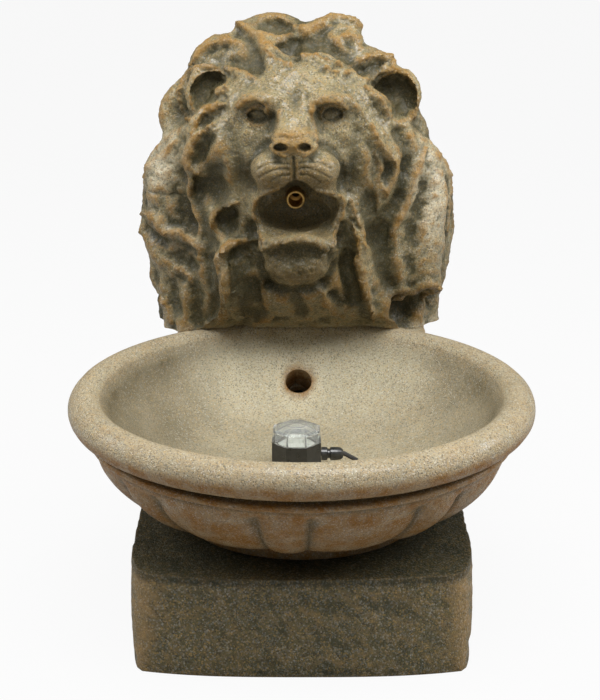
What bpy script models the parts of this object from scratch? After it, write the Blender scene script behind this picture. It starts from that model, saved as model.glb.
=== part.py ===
# Garden fountain: a lion's head over a shell-fluted basin on a hollow plinth.
# Metres, +Z up, front towards -Y, origin on the floor under the middle of the object.
import math

import bmesh
import bpy
import numpy as np
from mathutils import Euler, Matrix, Vector, noise

# Driving dimensions
gap = 0.0003
back_room = 0.047
plinth_height = 0.089
cast_wall = 0.009

rim_half_width = 0.200
basin_depth_ratio = 0.95
rim_top = 0.2075
roll_width = 0.031
roll_height = 0.030
dish_floor = 0.130
dish_flat = 0.056
dish_power = 2.4
cove_depth = 0.008
body_top = 0.160
body_radius = 0.178
foot_height = 0.011
foot_radius = 0.105
foot_width = 0.010
foot_recess = 0.009
body_curve = 1.6
flute_pairs = 8
flute_steps = 8
flute_depth = 0.0075
narrow_flute = math.radians(14)
flute_turn = math.radians(-5)
return_hole = 0.0250
return_height = 0.0317
return_slope = math.radians(48)

plinth_front_width = 0.248
plinth_flare = 0.008
plinth_width = 0.289
plinth_belly = 0.002
plinth_bow = 0.010
plinth_reach = 0.134
plinth_side_wall = 0.0265
plinth_front_wall = 0.0225
deck_opening_width = 0.190
deck_lip = 0.0035

column_width = 0.236
column_depth = 0.1135
column_top = 0.2045
duct_inset = 0.018
access_width = 0.110
access_height = 0.080
access_bottom = 0.106
rebate = 0.006
panel_thickness = 0.003
panel_screw_radius = 0.0030
panel_screw_length = 0.007

face_x = -0.004
head_depth = 0.2135
mouth_depth = 0.1155
core_depth = 0.0835
core_top = 0.395
hose_room_radius = 0.0165
spout_x = -0.0055
spout_z = 0.3420
spout_radius = 0.0085
spout_bore = 0.0065
spout_length = 0.045
barb_length = 0.015
barb_wall = 0.0013
nozzle_radius = 0.0050
hose_wall = 0.0022
hose_bore = nozzle_radius + 2 * gap

pump_depth = 0.0705
pump_length = 0.044
pump_width = 0.046
pump_height = 0.040
pump_end_x = 0.010
foot_pad_height = 0.0080
foot_pad_radius = 0.0060
volute_length = 0.020
volute_radius = 0.0190
volute_wall = 0.003
nozzle_length = 0.019
impeller_radius = 0.0130
impeller_thickness = 0.0110
blade_count = 5
shaft_radius = 0.0010
bush_wall = 0.0012
bush_length = 0.0022
strainer_length = 0.020
strainer_wall = 0.002
slot_count = 5
dial_radius = 0.009
dial_thickness = 0.005
dial_pin_radius = 0.0030
dial_pin_reach = 0.002
dial_grips = 8
dial_grip_radius = 0.0012
eye_count = 6
eye_ring = 0.0085
eye_radius = 0.0026
slot_margin = 0.004
lead_radius = 0.0022
pump_gland_length = 0.011
pump_gland_radius = 0.0040
pump_gland_shoulder = 0.004
rib_pitch = 0.010
rib_width = 0.003
rib_drop = 0.0012
nozzle_root = 0.002
hub_radius = 0.0042
impeller_clearance = 0.0015
impeller_disc = 0.0025
blade_half = 0.0008
foot_inset = 0.008

lamp_x = -0.0045
lamp_width = 0.0425
lamp_height = 0.0263
lamp_wall = 0.0022
lens_wall = 0.0016
lens_skirt = 0.0090
lens_dome = 0.0063
seal_thickness = 0.0016
board_thickness = 0.0016
lamp_gland_radius = 0.0058
lamp_gland_length = 0.019
lamp_gland_drop = 0.0130
grommet_radius = 0.0056
grommet_collar = 0.0020
grommet_head = 0.0018
grommet_depth = 0.008
grommet_offset = 0.012
lens_shelf_drop = 0.008
seal_width = 0.003
led_count = 6
led_ring = 0.009
led_radius = 0.0022
led_height = 0.003
board_post_radius = 0.004

inlet_x = -0.078
inlet_z = 0.122
inlet_radius = 0.0080
inlet_flange = 0.0120
inlet_rebate = 0.0025
inlet_pin_radius = 0.0014
inlet_socket_radius = 0.0042
inlet_socket_depth = 0.009
flange_thickness = 0.0020
junction_size = (0.014, 0.022, 0.036)
junction_depth = 0.0375
junction_drop = 0.0545
drain_x = 0.100
drain_z = 0.022
drain_radius = 0.0060
drain_flange = 0.0095
drain_rebate = 0.0023
drain_taper = 0.001
spout_proud = 0.010
hose_setback = 0.011
hose_overlap = 0.006
clip_offset = 0.007
clip_thickness = 0.0012
clip_width = 0.004
ear_height = 0.006
ear_half = (0.002, 0.0025)
return_reach = 0.139
return_entry = 0.03
return_exit = 0.056
overrun = 0.01  # how far a cutter runs past the face it opens
skim = 0.0001  # how far a flush piece sits behind the back

# Places that follow from them
back = rim_half_width * basin_depth_ratio + back_room / 2
basin_y = -back_room / 2
deck_top = plinth_height
deck_bottom = plinth_height - cast_wall
basin_base = deck_top + gap
plinth_front = basin_y - plinth_reach
column_front = back - column_depth
mouth_floor_y = back - mouth_depth
core_front = back - core_depth
pump_y = back - pump_depth
roll_radius = rim_half_width - roll_width / 2
roll_z = rim_top - roll_height / 2
column_base = deck_top + gap
head_base = column_top + gap
pump_base = cast_wall + gap + foot_pad_height + gap
pump_z = pump_base + pump_height / 2
volute_x = pump_end_x + gap
strainer_x = volute_x + volute_length + gap
lamp_base = dish_floor + gap
lens_base = lamp_base + lamp_height + gap
panel_bottom = access_bottom - rebate
panel_top = access_bottom + access_height + rebate

for leftover in list(bpy.data.objects):
    bpy.data.objects.remove(leftover, do_unlink=True)

parts = bpy.data.collections.new("garden_fountain")
cutters = bpy.data.collections.new("cutters")
bpy.context.scene.collection.children.link(parts)
bpy.context.scene.collection.children.link(cutters)


def paint(name, colour, roughness, metallic=0.0, transmission=0.0):
    made = bpy.data.materials.new(name)
    made.use_nodes = True
    shader = made.node_tree.nodes["Principled BSDF"]
    shader.inputs["Base Color"].default_value = (*colour, 1.0)
    shader.inputs["Roughness"].default_value = roughness
    shader.inputs["Metallic"].default_value = metallic
    shader.inputs["Transmission Weight"].default_value = transmission
    return made


sandstone = paint("cast_sandstone", (0.33, 0.26, 0.17), 0.55)
plinth_stone = paint("dark_sandstone", (0.19, 0.15, 0.10), 0.6)
brass = paint("brass", (0.55, 0.36, 0.10), 0.3, 1.0)
black_plastic = paint("black_plastic", (0.012, 0.012, 0.012), 0.4)
grey_plastic = paint("grey_plastic", (0.16, 0.17, 0.18), 0.45)
clear_plastic = paint("clear_plastic", (0.9, 0.92, 0.92), 0.05, 0.0, 0.95)
black_rubber = paint("black_rubber", (0.02, 0.02, 0.02), 0.8)
clear_hose = paint("vinyl_hose", (0.62, 0.66, 0.62), 0.25)
foam = paint("filter_foam", (0.03, 0.03, 0.035), 0.95)
steel = paint("stainless_steel", (0.6, 0.6, 0.6), 0.3, 1.0)
board_green = paint("circuit_board", (0.75, 0.76, 0.72), 0.5)


def place(obj, material=None, collection=parts):
    collection.objects.link(obj)
    if collection is cutters:
        obj.hide_render = True
        obj.display_type = "WIRE"
    if material is not None:
        obj.data.materials.append(material)
    return obj


def mesh_object(name, work, material=None, collection=parts, smooth=True):
    mesh = bpy.data.meshes.new(name)
    work.to_mesh(mesh)
    work.free()
    if smooth:
        mesh.shade_smooth()
        mesh.set_sharp_from_angle(angle=math.radians(35))
    return place(bpy.data.objects.new(name, mesh), material, collection)


def bevel(obj, width, segments=2):
    edge = obj.modifiers.new("edges", "BEVEL")
    edge.width = width
    edge.segments = segments
    edge.limit_method = "ANGLE"
    edge.angle_limit = math.radians(40)
    return obj


def box(name, low, high, material=None, collection=parts, round_by=0.0):
    low, high = Vector(low), Vector(high)
    work = bmesh.new()
    bmesh.ops.create_cube(work, size=1.0)
    bmesh.ops.scale(work, vec=high - low, verts=work.verts)
    obj = mesh_object(name, work, material, collection)
    obj.location = (low + high) / 2
    if round_by:
        bevel(obj, round_by)
    return obj


def rod(name, start, end, radius, material=None, collection=parts, sides=32, end_radius=None):
    start, end = Vector(start), Vector(end)
    work = bmesh.new()
    bmesh.ops.create_cone(work, cap_ends=True, segments=sides, radius1=radius,
                          radius2=radius if end_radius is None else end_radius,
                          depth=(end - start).length)
    obj = mesh_object(name, work, material, collection)
    obj.location = (start + end) / 2
    obj.rotation_euler = (end - start).to_track_quat("Z", "Y").to_euler()
    return obj


def turned(name, profile, material=None, collection=parts, steps=48, closed=False):
    work = bmesh.new()
    points = [work.verts.new((radius, 0.0, height)) for radius, height in profile]
    for first, second in zip(points, points[1:]):
        work.edges.new((first, second))
    if closed:
        work.edges.new((points[-1], points[0]))
    obj = mesh_object(name, work, material, collection, smooth=False)
    screw = obj.modifiers.new("turn", "SCREW")
    screw.steps = steps
    screw.render_steps = steps
    screw.use_merge_vertices = True
    screw.merge_threshold = 0.00005
    screw.use_smooth_shade = True
    return obj


def ring(name, inner, outer, length, material=None, collection=parts, steps=32):
    half = length / 2
    profile = [(inner, half), (outer, half), (outer, -half), (inner, -half)]
    return turned(name, profile, material, collection, steps, closed=True)


def point_along(obj, location, direction=(0, 0, 1)):
    obj.location = location
    obj.rotation_euler = Vector(direction).to_track_quat("Z", "Y").to_euler()
    return obj


def combine(obj, other, operation="DIFFERENCE"):
    change = obj.modifiers.new(operation.lower(), "BOOLEAN")
    change.operation = operation
    change.object = other
    return obj


def solid_mesh(obj, merge=0.00001):
    """The evaluated shape of an object as a new mesh in world space."""
    graph = bpy.context.evaluated_depsgraph_get()
    graph.update()
    mesh = bpy.data.meshes.new_from_object(obj.evaluated_get(graph))
    mesh.transform(obj.matrix_world)
    work = bmesh.new()
    work.from_mesh(mesh)
    bmesh.ops.remove_doubles(work, verts=work.verts, dist=merge)
    work.to_mesh(mesh)
    work.free()
    return mesh


def bake(obj):
    """Replace an object by its evaluated shape, with its place in the mesh."""
    bpy.context.view_layer.update()
    mesh = solid_mesh(obj)
    mesh.name = obj.name
    name = obj.name
    homes = list(obj.users_collection)
    hidden = obj.hide_render
    bpy.data.objects.remove(obj, do_unlink=True)
    made = bpy.data.objects.new(name, mesh)
    for home in homes:
        home.objects.link(made)
    made.hide_render = hidden
    if hidden:
        made.display_type = "WIRE"
    return made


def smooth_route(points, count):
    """Evenly spread points on a smooth curve through the route's own points."""
    knots = [Vector(point) for point in points]
    ends = [2 * knots[0] - knots[1]] + knots + [2 * knots[-1] - knots[-2]]
    dense = []
    for index in range(1, len(ends) - 2):
        before, start, end, after = ends[index - 1:index + 3]
        for step in range(16):
            t = step / 16
            dense.append(0.5 * (2 * start + (end - before) * t
                                + (2 * before - 5 * start + 4 * end - after) * t ** 2
                                + (3 * start - before - 3 * end + after) * t ** 3))
    dense.append(knots[-1])
    lengths = [0.0]
    for first, second in zip(dense, dense[1:]):
        lengths.append(lengths[-1] + (second - first).length)
    wanted = np.linspace(0.0, lengths[-1], count)
    return [Vector([float(np.interp(value, lengths, [point[axis] for point in dense]))
                    for axis in range(3)]) for value in wanted]


def tube(name, route, radius, material=None, collection=parts, count=24, sides=4, radii=None):
    curve = bpy.data.curves.new(name, "CURVE")
    curve.dimensions = "3D"
    curve.bevel_depth = radius
    curve.bevel_resolution = sides
    curve.use_fill_caps = True
    points = smooth_route(route, count)
    spline = curve.splines.new("POLY")
    spline.points.add(len(points) - 1)
    for index, point in enumerate(points):
        spline.points[index].co = (*point, 1.0)
        if radii is not None:
            share = index / (len(points) - 1)
            spline.points[index].radius = float(np.interp(share, np.linspace(0, 1, len(radii)), radii))
    obj = place(bpy.data.objects.new(name, curve), material, collection)
    return bake(obj)


# Basin


def roll_arc(grow, first, last, count):
    """Points on the rim's roll between two angles, grown outwards by a clearance."""
    return [(roll_radius + (roll_width / 2 + grow) * math.cos(angle),
             roll_z + (roll_height / 2 + grow) * math.sin(angle))
            for angle in np.linspace(math.radians(first), math.radians(last), count)]


def dish_height(radius):
    edge_radius, edge_height = roll_arc(0, 150, 150, 1)[0]
    share = max(0.0, radius - dish_flat) / (edge_radius - dish_flat)
    return dish_floor + (edge_height - dish_floor) * share ** dish_power


def body_arc(grow, count):
    """The fluted body's profile from under the moulding down to the foot."""
    top, bottom = body_top, basin_base + foot_height
    points = []
    for share in 1 - (1 - np.linspace(0, 1, count)) ** 1.3:
        radius = foot_radius + (body_radius - foot_radius) * (1 - share ** body_curve) ** (1 / body_curve)
        points.append((float(radius) + grow, float(top + (bottom - top) * share)))
    return points


def cove_arc(grow, recessed):
    """The cove under the roll and the thin moulding below it."""
    start = body_radius + cove_depth / 4
    top = roll_z - roll_height / 2
    throat = [(start - 0.001, top - 0.0045)] if recessed else []
    points = [(start, top - 0.0020)] + throat
    points += [(start + 0.002, top - 0.0070), (start + 0.0035, top - 0.0095), (start + 0.0020, top - 0.0130)]
    return [(radius + grow, height) for radius, height in points]


def basin_profile():
    edge_radius = roll_arc(0, 150, 150, 1)[0][0]
    dish = [(0.0, dish_floor), (dish_flat, dish_floor)]
    dish += [(radius, dish_height(radius))
             for radius in np.linspace(dish_flat, edge_radius, 7)[2:-1].tolist()]
    foot = [(foot_radius, basin_base), (foot_radius - foot_width, basin_base),
            (foot_radius - foot_width - 0.002, basin_base + foot_recess), (0.0, basin_base + foot_recess)]
    return dish + roll_arc(0, 150, -75, 8) + cove_arc(0, True) + body_arc(0, 7) + foot


def flute_angle(step, steps_per_pair):
    """The angle of a turning step, spread so that a cusp falls on every lobe's edge."""
    pair, place_in_pair = divmod(step, steps_per_pair)
    pair_angle = math.tau / flute_pairs
    narrow_steps = steps_per_pair // 4
    if place_in_pair <= narrow_steps:
        angle = narrow_flute * place_in_pair / narrow_steps
    else:
        wide = pair_angle - narrow_flute
        angle = narrow_flute + wide * (place_in_pair - narrow_steps) / (steps_per_pair - narrow_steps)
    return pair * pair_angle + angle


def flute_bulge(angle):
    """How far out a lobe stands at an angle: 0 at its cusps and 1 at its crown."""
    pair_angle = math.tau / flute_pairs
    inside = angle % pair_angle
    if inside < narrow_flute:
        share = inside / narrow_flute
    else:
        share = (inside - narrow_flute) / (pair_angle - narrow_flute)
    return math.sin(math.pi * share) ** 0.6 if 0 < share < 1 else 0.0


def flute_strength(height):
    """The flutes fade in under the moulding and end at the foot."""
    top, bottom = body_top, basin_base + foot_height
    share = (top - height) / (top - bottom)
    if share <= 0 or share > 1.001:
        return 0.0
    return flute_depth * min(1.0, share / 0.15)


def shape_basin(mesh, fluted):
    """Press the flutes into a turned basin, then make it oval and move it to its place."""
    front = -math.pi / 2 + flute_turn - narrow_flute / 2
    steps = flute_pairs * flute_steps
    cusps = set()
    for vertex in mesh.vertices:
        radius = math.hypot(vertex.co.x, vertex.co.y)
        step = round(math.atan2(vertex.co.y, vertex.co.x) / (math.tau / steps)) % steps
        angle = flute_angle(step, flute_steps)
        outside = radius > foot_radius * 0.99 and vertex.co.z < dish_height(min(radius, body_radius)) - 0.002
        if fluted and outside:
            radius -= flute_strength(vertex.co.z) * (1.0 - flute_bulge(angle))
            if flute_bulge(angle) < 0.01:
                cusps.add(vertex.index)
        vertex.co.x = radius * math.cos(angle + front)
        vertex.co.y = radius * math.sin(angle + front) * basin_depth_ratio + basin_y
    for edge in mesh.edges:
        if cusps.issuperset(edge.vertices):
            edge.use_edge_sharp = True


def make_basin():
    basin = bake(turned("basin", basin_profile(), sandstone, steps=flute_pairs * flute_steps))
    basin.data.shade_smooth()
    basin.data.set_sharp_from_angle(angle=math.radians(35))
    shape_basin(basin.data, True)
    combine(basin, return_bore)
    combine(basin, rod("lamp_lead_bore", (grommet_x, basin_y, basin_base - overrun),
                       (grommet_x, basin_y, dish_floor + overrun), grommet_radius + gap, None, cutters, 24))
    return basin


def basin_envelope(name, grow, moulded=True):
    """A solid a little larger than the basin, which cuts its neighbours to seat on it."""
    roll = roll_arc(grow, 150, -75, 8)[2:] + cove_arc(grow, False) if moulded else roll_arc(grow, 90, -10, 4)
    profile = [(0.0, rim_top + grow)] + roll + body_arc(grow, 7)
    profile += [(foot_radius + grow, basin_base - 0.03), (0.0, basin_base - 0.03)]
    envelope = bake(turned(name, profile, None, cutters, steps=flute_pairs * flute_steps))
    shape_basin(envelope.data, False)
    return envelope


# Plinth and column


def rough(point, scale, amount):
    """Hewn relief: a smooth seeded offset for a point of the casting."""
    return amount * noise.noise(Vector(point) / scale + Vector((3.1, 7.7, 1.9)))


def plinth_half_width(y, z):
    """Half the plinth's width: it widens from its front corners, flares down and bulges."""
    share = min(1.0, max(0.0, (y - plinth_front) / 0.06))
    lift = z / plinth_height
    front = plinth_front_width / 2 + plinth_flare * (1.0 - lift)
    side = plinth_width / 2 - plinth_belly * (2.0 * lift - 1.0) ** 2
    return front + (side - front) * math.sqrt(share * (2.0 - share))


def hewn_block(name, low, high, shape, cuts, material):
    work = bmesh.new()
    bmesh.ops.create_cube(work, size=1.0)
    bmesh.ops.scale(work, vec=Vector(high) - Vector(low), verts=work.verts)
    bmesh.ops.translate(work, vec=(Vector(low) + Vector(high)) / 2, verts=work.verts)
    for axis, count in enumerate(cuts):
        for index in range(1, count):
            level = low[axis] + (high[axis] - low[axis]) * index / count
            normal = Vector([1.0 if other == axis else 0.0 for other in range(3)])
            bmesh.ops.bisect_plane(work, geom=work.verts[:] + work.edges[:] + work.faces[:],
                                   plane_co=normal * level, plane_no=normal)
    for vertex in work.verts:
        vertex.co = shape(vertex.co)
    return mesh_object(name, work, material)


def plinth_shape(co):
    on_top = co.z > plinth_height - 1e-6
    on_floor = co.z < 1e-6
    on_back = co.y > back - 1e-6
    side = co.x / (plinth_width / 2)
    x = side * plinth_half_width(co.y, co.z)
    y, z = co.y, co.z
    if not on_back:
        bow = plinth_bow * abs(side) ** 3 * (back - co.y) / (back - plinth_front)
        y += bow
    if abs(side) > 0.99 and not on_floor and not on_back:
        x += rough(co, 0.035, 0.004) * math.copysign(1, side)
    if co.y < plinth_front + 1e-6 and not on_floor:
        y += rough(co, 0.045, 0.0015)
    if on_top and co.y < plinth_front + 1e-6:
        z -= 0.001
    return Vector((x, y, z))


def make_plinth():
    plinth = hewn_block("plinth", (-plinth_width / 2, plinth_front, 0.0),
                        (plinth_width / 2, back, plinth_height),
                        plinth_shape, (8, 7, 4), plinth_stone)
    bevel(plinth, 0.005, 2)
    hollow_x = plinth_width / 2 - plinth_side_wall
    combine(plinth, box("reservoir", (-hollow_x, plinth_front + plinth_front_wall, cast_wall),
                        (hollow_x, back - cast_wall, deck_bottom), None, cutters, 0.004))
    opening_x = deck_opening_width / 2
    opening_front = column_front + cast_wall + deck_lip
    combine(plinth, box("deck_opening", (-opening_x, opening_front, deck_bottom - overrun),
                        (opening_x, back - cast_wall - deck_lip, deck_top + overrun), None, cutters))
    combine(plinth, rod("lamp_lead_deck_bore", (grommet_x, basin_y, deck_bottom - overrun),
                        (grommet_x, basin_y, deck_top + overrun), grommet_radius, None, cutters, 24))
    combine(plinth, rod("drain_bore", (drain_x, back - cast_wall - overrun, drain_z),
                        (drain_x, back + overrun, drain_z), drain_radius + gap, None, cutters))
    combine(plinth, rod("drain_rebate", (drain_x, back - drain_rebate, drain_z),
                        (drain_x, back + overrun, drain_z), drain_flange + gap, None, cutters))
    return plinth


def column_shape(co):
    side = co.x / (column_width / 2)
    x, y = co.x, co.y
    lift = (co.z - column_base) / (column_top - column_base)
    x *= 1.0 + 0.03 * (1.0 - lift)
    if abs(side) > 0.99 and co.y < back - 1e-6:
        x += rough(co, 0.03, 0.004) * math.copysign(1, side)
    return Vector((x, y, co.z))


def make_column():
    column = hewn_block("back_column", (-column_width / 2, column_front, column_base),
                        (column_width / 2, back, column_top), column_shape, (4, 3, 4), sandstone)
    bevel(column, 0.004, 1)
    combine(column, basin_envelope("basin_seat", gap))
    duct_x = column_width / 2 - duct_inset
    duct = box("duct", (-duct_x, column_front + cast_wall, column_base - overrun),
               (duct_x, back - cast_wall, column_top - cast_wall), None, cutters)
    combine(duct, basin_envelope("basin_wall", cast_wall, False))
    combine(column, duct)
    combine(column, return_bore)
    half = access_width / 2
    top = access_bottom + access_height
    combine(column, box("access_opening", (-half, back - 0.02, access_bottom), (half, back + overrun, top),
                        None, cutters))
    combine(column, box("panel_rebate", (-half - rebate - gap, back - panel_thickness - gap,
                                         panel_bottom - gap),
                        (half + rebate + gap, back + overrun, panel_top + gap), None, cutters))
    combine(column, rod("hose_bore", (spout_x, hose_y, column_top - 0.03),
                        (spout_x, hose_y, column_top + overrun),
                        hose_bore + hose_wall + 0.002, None, cutters))
    combine(column, rod("inlet_bore", (inlet_x, back - 0.02, inlet_z), (inlet_x, back + overrun, inlet_z),
                        inlet_radius + gap, None, cutters))
    combine(column, rod("inlet_rebate", (inlet_x, back - inlet_rebate, inlet_z),
                        (inlet_x, back + overrun, inlet_z),
                        inlet_flange + gap, None, cutters))
    for index, (x, z) in enumerate(panel_corners()):
        combine(column, rod(f"screw_bore_{index}", (x, back - panel_thickness - panel_screw_length, z),
                            (x, back, z), panel_screw_radius * 0.5 + gap, None, cutters, 16))
    return column


def panel_corners():
    half = access_width / 2 + rebate / 2
    low = access_bottom - rebate / 2
    high = access_bottom + access_height + rebate / 2
    return [(-half, low), (half, low), (-half, high), (half, high)]


def make_access_panel():
    half = access_width / 2 + rebate
    face = back - skim
    panel = box("access_panel", (-half, face - panel_thickness + gap, panel_bottom), (half, face, panel_top),
                sandstone)
    for index, (x, z) in enumerate(panel_corners()):
        combine(panel, rod(f"countersink_{index}", (x, face - panel_thickness - 0.001, z),
                           (x, face + 0.001, z),
                           panel_screw_radius * 0.5 + gap, None, cutters, 16,
                           end_radius=panel_screw_radius + 3 * gap))
    for index, (x, z) in enumerate(panel_corners(), 1):
        head_depth = panel_thickness - 0.0012
        shank = panel_screw_radius * 0.5
        profile = [(0.0, 0.0), (panel_screw_radius, 0.0), (shank, -head_depth),
                   (shank, -panel_screw_length), (0.0, -panel_screw_length - shank)]
        screw = turned(f"panel_screw_{index}", profile, steel, steps=16)
        point_along(screw, (x, face - gap, z), (0, 1, 0))
        combine(screw, box(f"screw_slot_{index}", (x - 0.0022, face - 0.0012, z - 0.0004),
                           (x + 0.0022, face + 0.001, z + 0.0004), None, cutters))
    return panel


# Water and wiring

hose_y = back - cast_wall - hose_bore - hose_wall - hose_setback
grommet_x = lamp_x + lamp_width / 2 + lamp_gland_length + grommet_offset
return_y = basin_y + basin_depth_ratio * return_reach
return_z = dish_floor + return_height
return_way = Vector((0.0, math.cos(return_slope), -math.sin(return_slope)))
return_centre = Vector((face_x + 0.001, return_y, return_z))
return_bore = rod("return_bore", return_centre - return_way * return_entry,
                  return_centre + return_way * return_exit,
                  return_hole / 2, None, cutters, 28)


def make_spout():
    """Brass spout with a barb behind, round the Y axis, mouth at -Y."""
    front = mouth_floor_y - spout_proud
    middle = spout_length - barb_length
    barb_bore = nozzle_radius - barb_wall
    profile = [(spout_radius - 0.0007, 0.0), (spout_radius, -0.0008), (spout_radius, -middle),
               (nozzle_radius, -middle), (nozzle_radius, -spout_length), (barb_bore, -spout_length),
               (barb_bore, -middle + 0.003), (spout_bore, -middle + 0.004), (spout_bore, 0.0)]
    spout = turned("spout_tube", profile, brass, steps=28, closed=True)
    return point_along(spout, (spout_x, front, spout_z), (0, -1, 0))


def make_hose():
    spout_back = mouth_floor_y - spout_proud + spout_length
    middle = spout_back - barb_length + gap
    nozzle_top = pump_z + volute_radius - nozzle_root + nozzle_length
    nozzle_x = volute_x + volute_length / 2
    sleeve = nozzle_top - nozzle_length + hose_overlap
    route = [(nozzle_x, pump_y, sleeve), (nozzle_x, pump_y, sleeve + clip_offset),
             (nozzle_x, pump_y, sleeve + 2 * clip_offset),
             (nozzle_x, pump_y, nozzle_top + 0.004), (nozzle_x, pump_y, nozzle_top + 0.012),
             (nozzle_x - 0.012, pump_y + 0.024, (nozzle_top + column_top) / 2 - 0.011),
             (spout_x, hose_y, column_top - 0.0245), (spout_x, hose_y, column_top + 0.0355),
             (spout_x, hose_y - 0.001, spout_z - 0.0513),
             (spout_x, hose_y - 0.011, spout_z - 0.021), (spout_x, hose_y - 0.028, spout_z - 0.004),
             (spout_x, spout_back + 0.010, spout_z), (spout_x, spout_back + 0.003, spout_z),
             (spout_x, middle + clip_offset, spout_z), (spout_x, middle, spout_z)]
    hose = tube("delivery_hose", route, hose_bore + hose_wall, clear_hose, count=22, sides=3)
    first, last = Vector(route[0]), Vector(route[-1])
    bore_route = [first - Vector((0, 0, 0.004))] + route + [last - Vector((0, 0.004, 0))]
    combine(hose, tube("hose_bore_core", bore_route, hose_bore, None, cutters, count=24, sides=2))
    clip_place = {"hose_clip_lower": ((nozzle_x, pump_y, sleeve + hose_overlap), (0, 0, 1)),
                  "hose_clip_upper": ((spout_x, middle + clip_offset, spout_z), (0, 1, 0))}
    for name, (where, way) in clip_place.items():
        inner = hose_bore + hose_wall + gap
        clip = ring(name, inner, inner + clip_thickness, clip_width, steel)
        point_along(clip, where, way)
        side, end = ear_half
        ear = box(f"{name}_ear", (-side, 0, -end), (side, inner - gap + ear_height, end), None, cutters)
        combine(ear, rod(f"{name}_ear_bore", (0, 0, -overrun), (0, 0, overrun), inner + clip_thickness / 2,
                         None, cutters, 32))
        ear = bake(ear)
        turn = Vector(way).to_track_quat("Z", "Y").to_matrix().to_4x4()
        ear.matrix_world = Matrix.Translation(where) @ turn
        combine(clip, ear, "UNION")
    return hose


def make_pump():
    low_x = pump_end_x - pump_length
    body = box("pump_body", (low_x, pump_y - pump_width / 2, pump_base),
               (pump_end_x, pump_y + pump_width / 2, pump_base + pump_height), black_plastic, round_by=0.004)
    for index in range(3):
        x = low_x + rib_pitch * (index + 1)
        combine(body, box(f"body_groove_{index}",
                          (x, pump_y - pump_width, pump_base + pump_height - rib_drop),
                          (x + rib_width, pump_y + pump_width, pump_base + pump_height + overrun),
                          None, cutters))

    volute = rod("pump_volute", (volute_x, pump_y, pump_z), (volute_x + volute_length, pump_y, pump_z),
                 volute_radius, black_plastic, sides=40)
    nozzle_x = volute_x + volute_length / 2
    nozzle_base = pump_z + volute_radius - nozzle_root
    combine(volute, rod("nozzle", (nozzle_x, pump_y, pump_z), (nozzle_x, pump_y, nozzle_base + nozzle_length),
                        nozzle_radius, None, cutters, 24), "UNION")
    combine(volute, rod("chamber", (volute_x + volute_wall, pump_y, pump_z),
                        (volute_x + volute_length + overrun, pump_y, pump_z), volute_radius - volute_wall,
                        None, cutters, 40))
    combine(volute, rod("nozzle_bore", (nozzle_x, pump_y, pump_z),
                        (nozzle_x, pump_y, nozzle_base + nozzle_length + overrun), nozzle_radius - barb_wall,
                        None, cutters, 24))
    bush_outer = shaft_radius + gap + bush_wall
    combine(volute, rod("inner_bush_seat", (volute_x - overrun, pump_y, pump_z),
                        (volute_x + overrun, pump_y, pump_z),
                        bush_outer + gap, None, cutters, 24))

    chamber_x = volute_x + volute_wall
    disc_x = chamber_x + impeller_clearance
    impeller = rod("impeller", (disc_x, pump_y, pump_z), (disc_x + impeller_disc, pump_y, pump_z),
                   impeller_radius, grey_plastic, sides=32)
    impeller = bake(impeller)
    root_x = disc_x + impeller_disc * 0.6
    combine(impeller, rod("hub", (root_x, pump_y, pump_z), (disc_x + impeller_thickness, pump_y, pump_z),
                          hub_radius, None, cutters, 24), "UNION")
    for index in range(blade_count):
        blade = box(f"blade_{index}", (root_x, -blade_half, hub_radius / 2),
                    (chamber_x + impeller_thickness, blade_half, impeller_radius - 2 * gap), None, cutters)
        blade.matrix_world = (Matrix.Translation((0, pump_y, pump_z))
                              @ Matrix.Rotation(math.tau * index / blade_count, 4, "X") @ blade.matrix_basis)
        combine(impeller, blade, "UNION")
    combine(impeller, rod("shaft_way", (chamber_x - overrun, pump_y, pump_z), (strainer_x, pump_y, pump_z),
                          shaft_radius + gap, None, cutters, 20))

    shaft_end = strainer_x + strainer_wall
    rod("impeller_shaft", (volute_x + gap, pump_y, pump_z), (shaft_end, pump_y, pump_z), shaft_radius, steel,
        sides=20)
    for name, x in (("shaft_bush_inner", volute_x + volute_wall / 2),
                    ("shaft_bush_outer", strainer_x + strainer_wall / 2 + gap)):
        bush = ring(name, shaft_radius + gap, bush_outer, bush_length, black_rubber, steps=24)
        point_along(bush, (x, pump_y, pump_z), (1, 0, 0))

    for index, (x, y) in enumerate(foot_places(), 1):
        base = cast_wall + gap
        neck = foot_pad_radius * 0.6
        profile = [(0.0, foot_pad_height), (neck, foot_pad_height), (neck, foot_pad_height * 0.45),
                   (foot_pad_radius, 0.0), (0.0, 0.0)]
        point_along(turned(f"suction_foot_{index}", profile, black_rubber, steps=24), (x, y, base))
    return body


def foot_places():
    low_x = pump_end_x - pump_length
    reach = pump_width / 2 - foot_inset
    return [(x, y) for x in (low_x + foot_inset, pump_end_x - foot_inset)
            for y in (pump_y - reach, pump_y + reach)]


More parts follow.
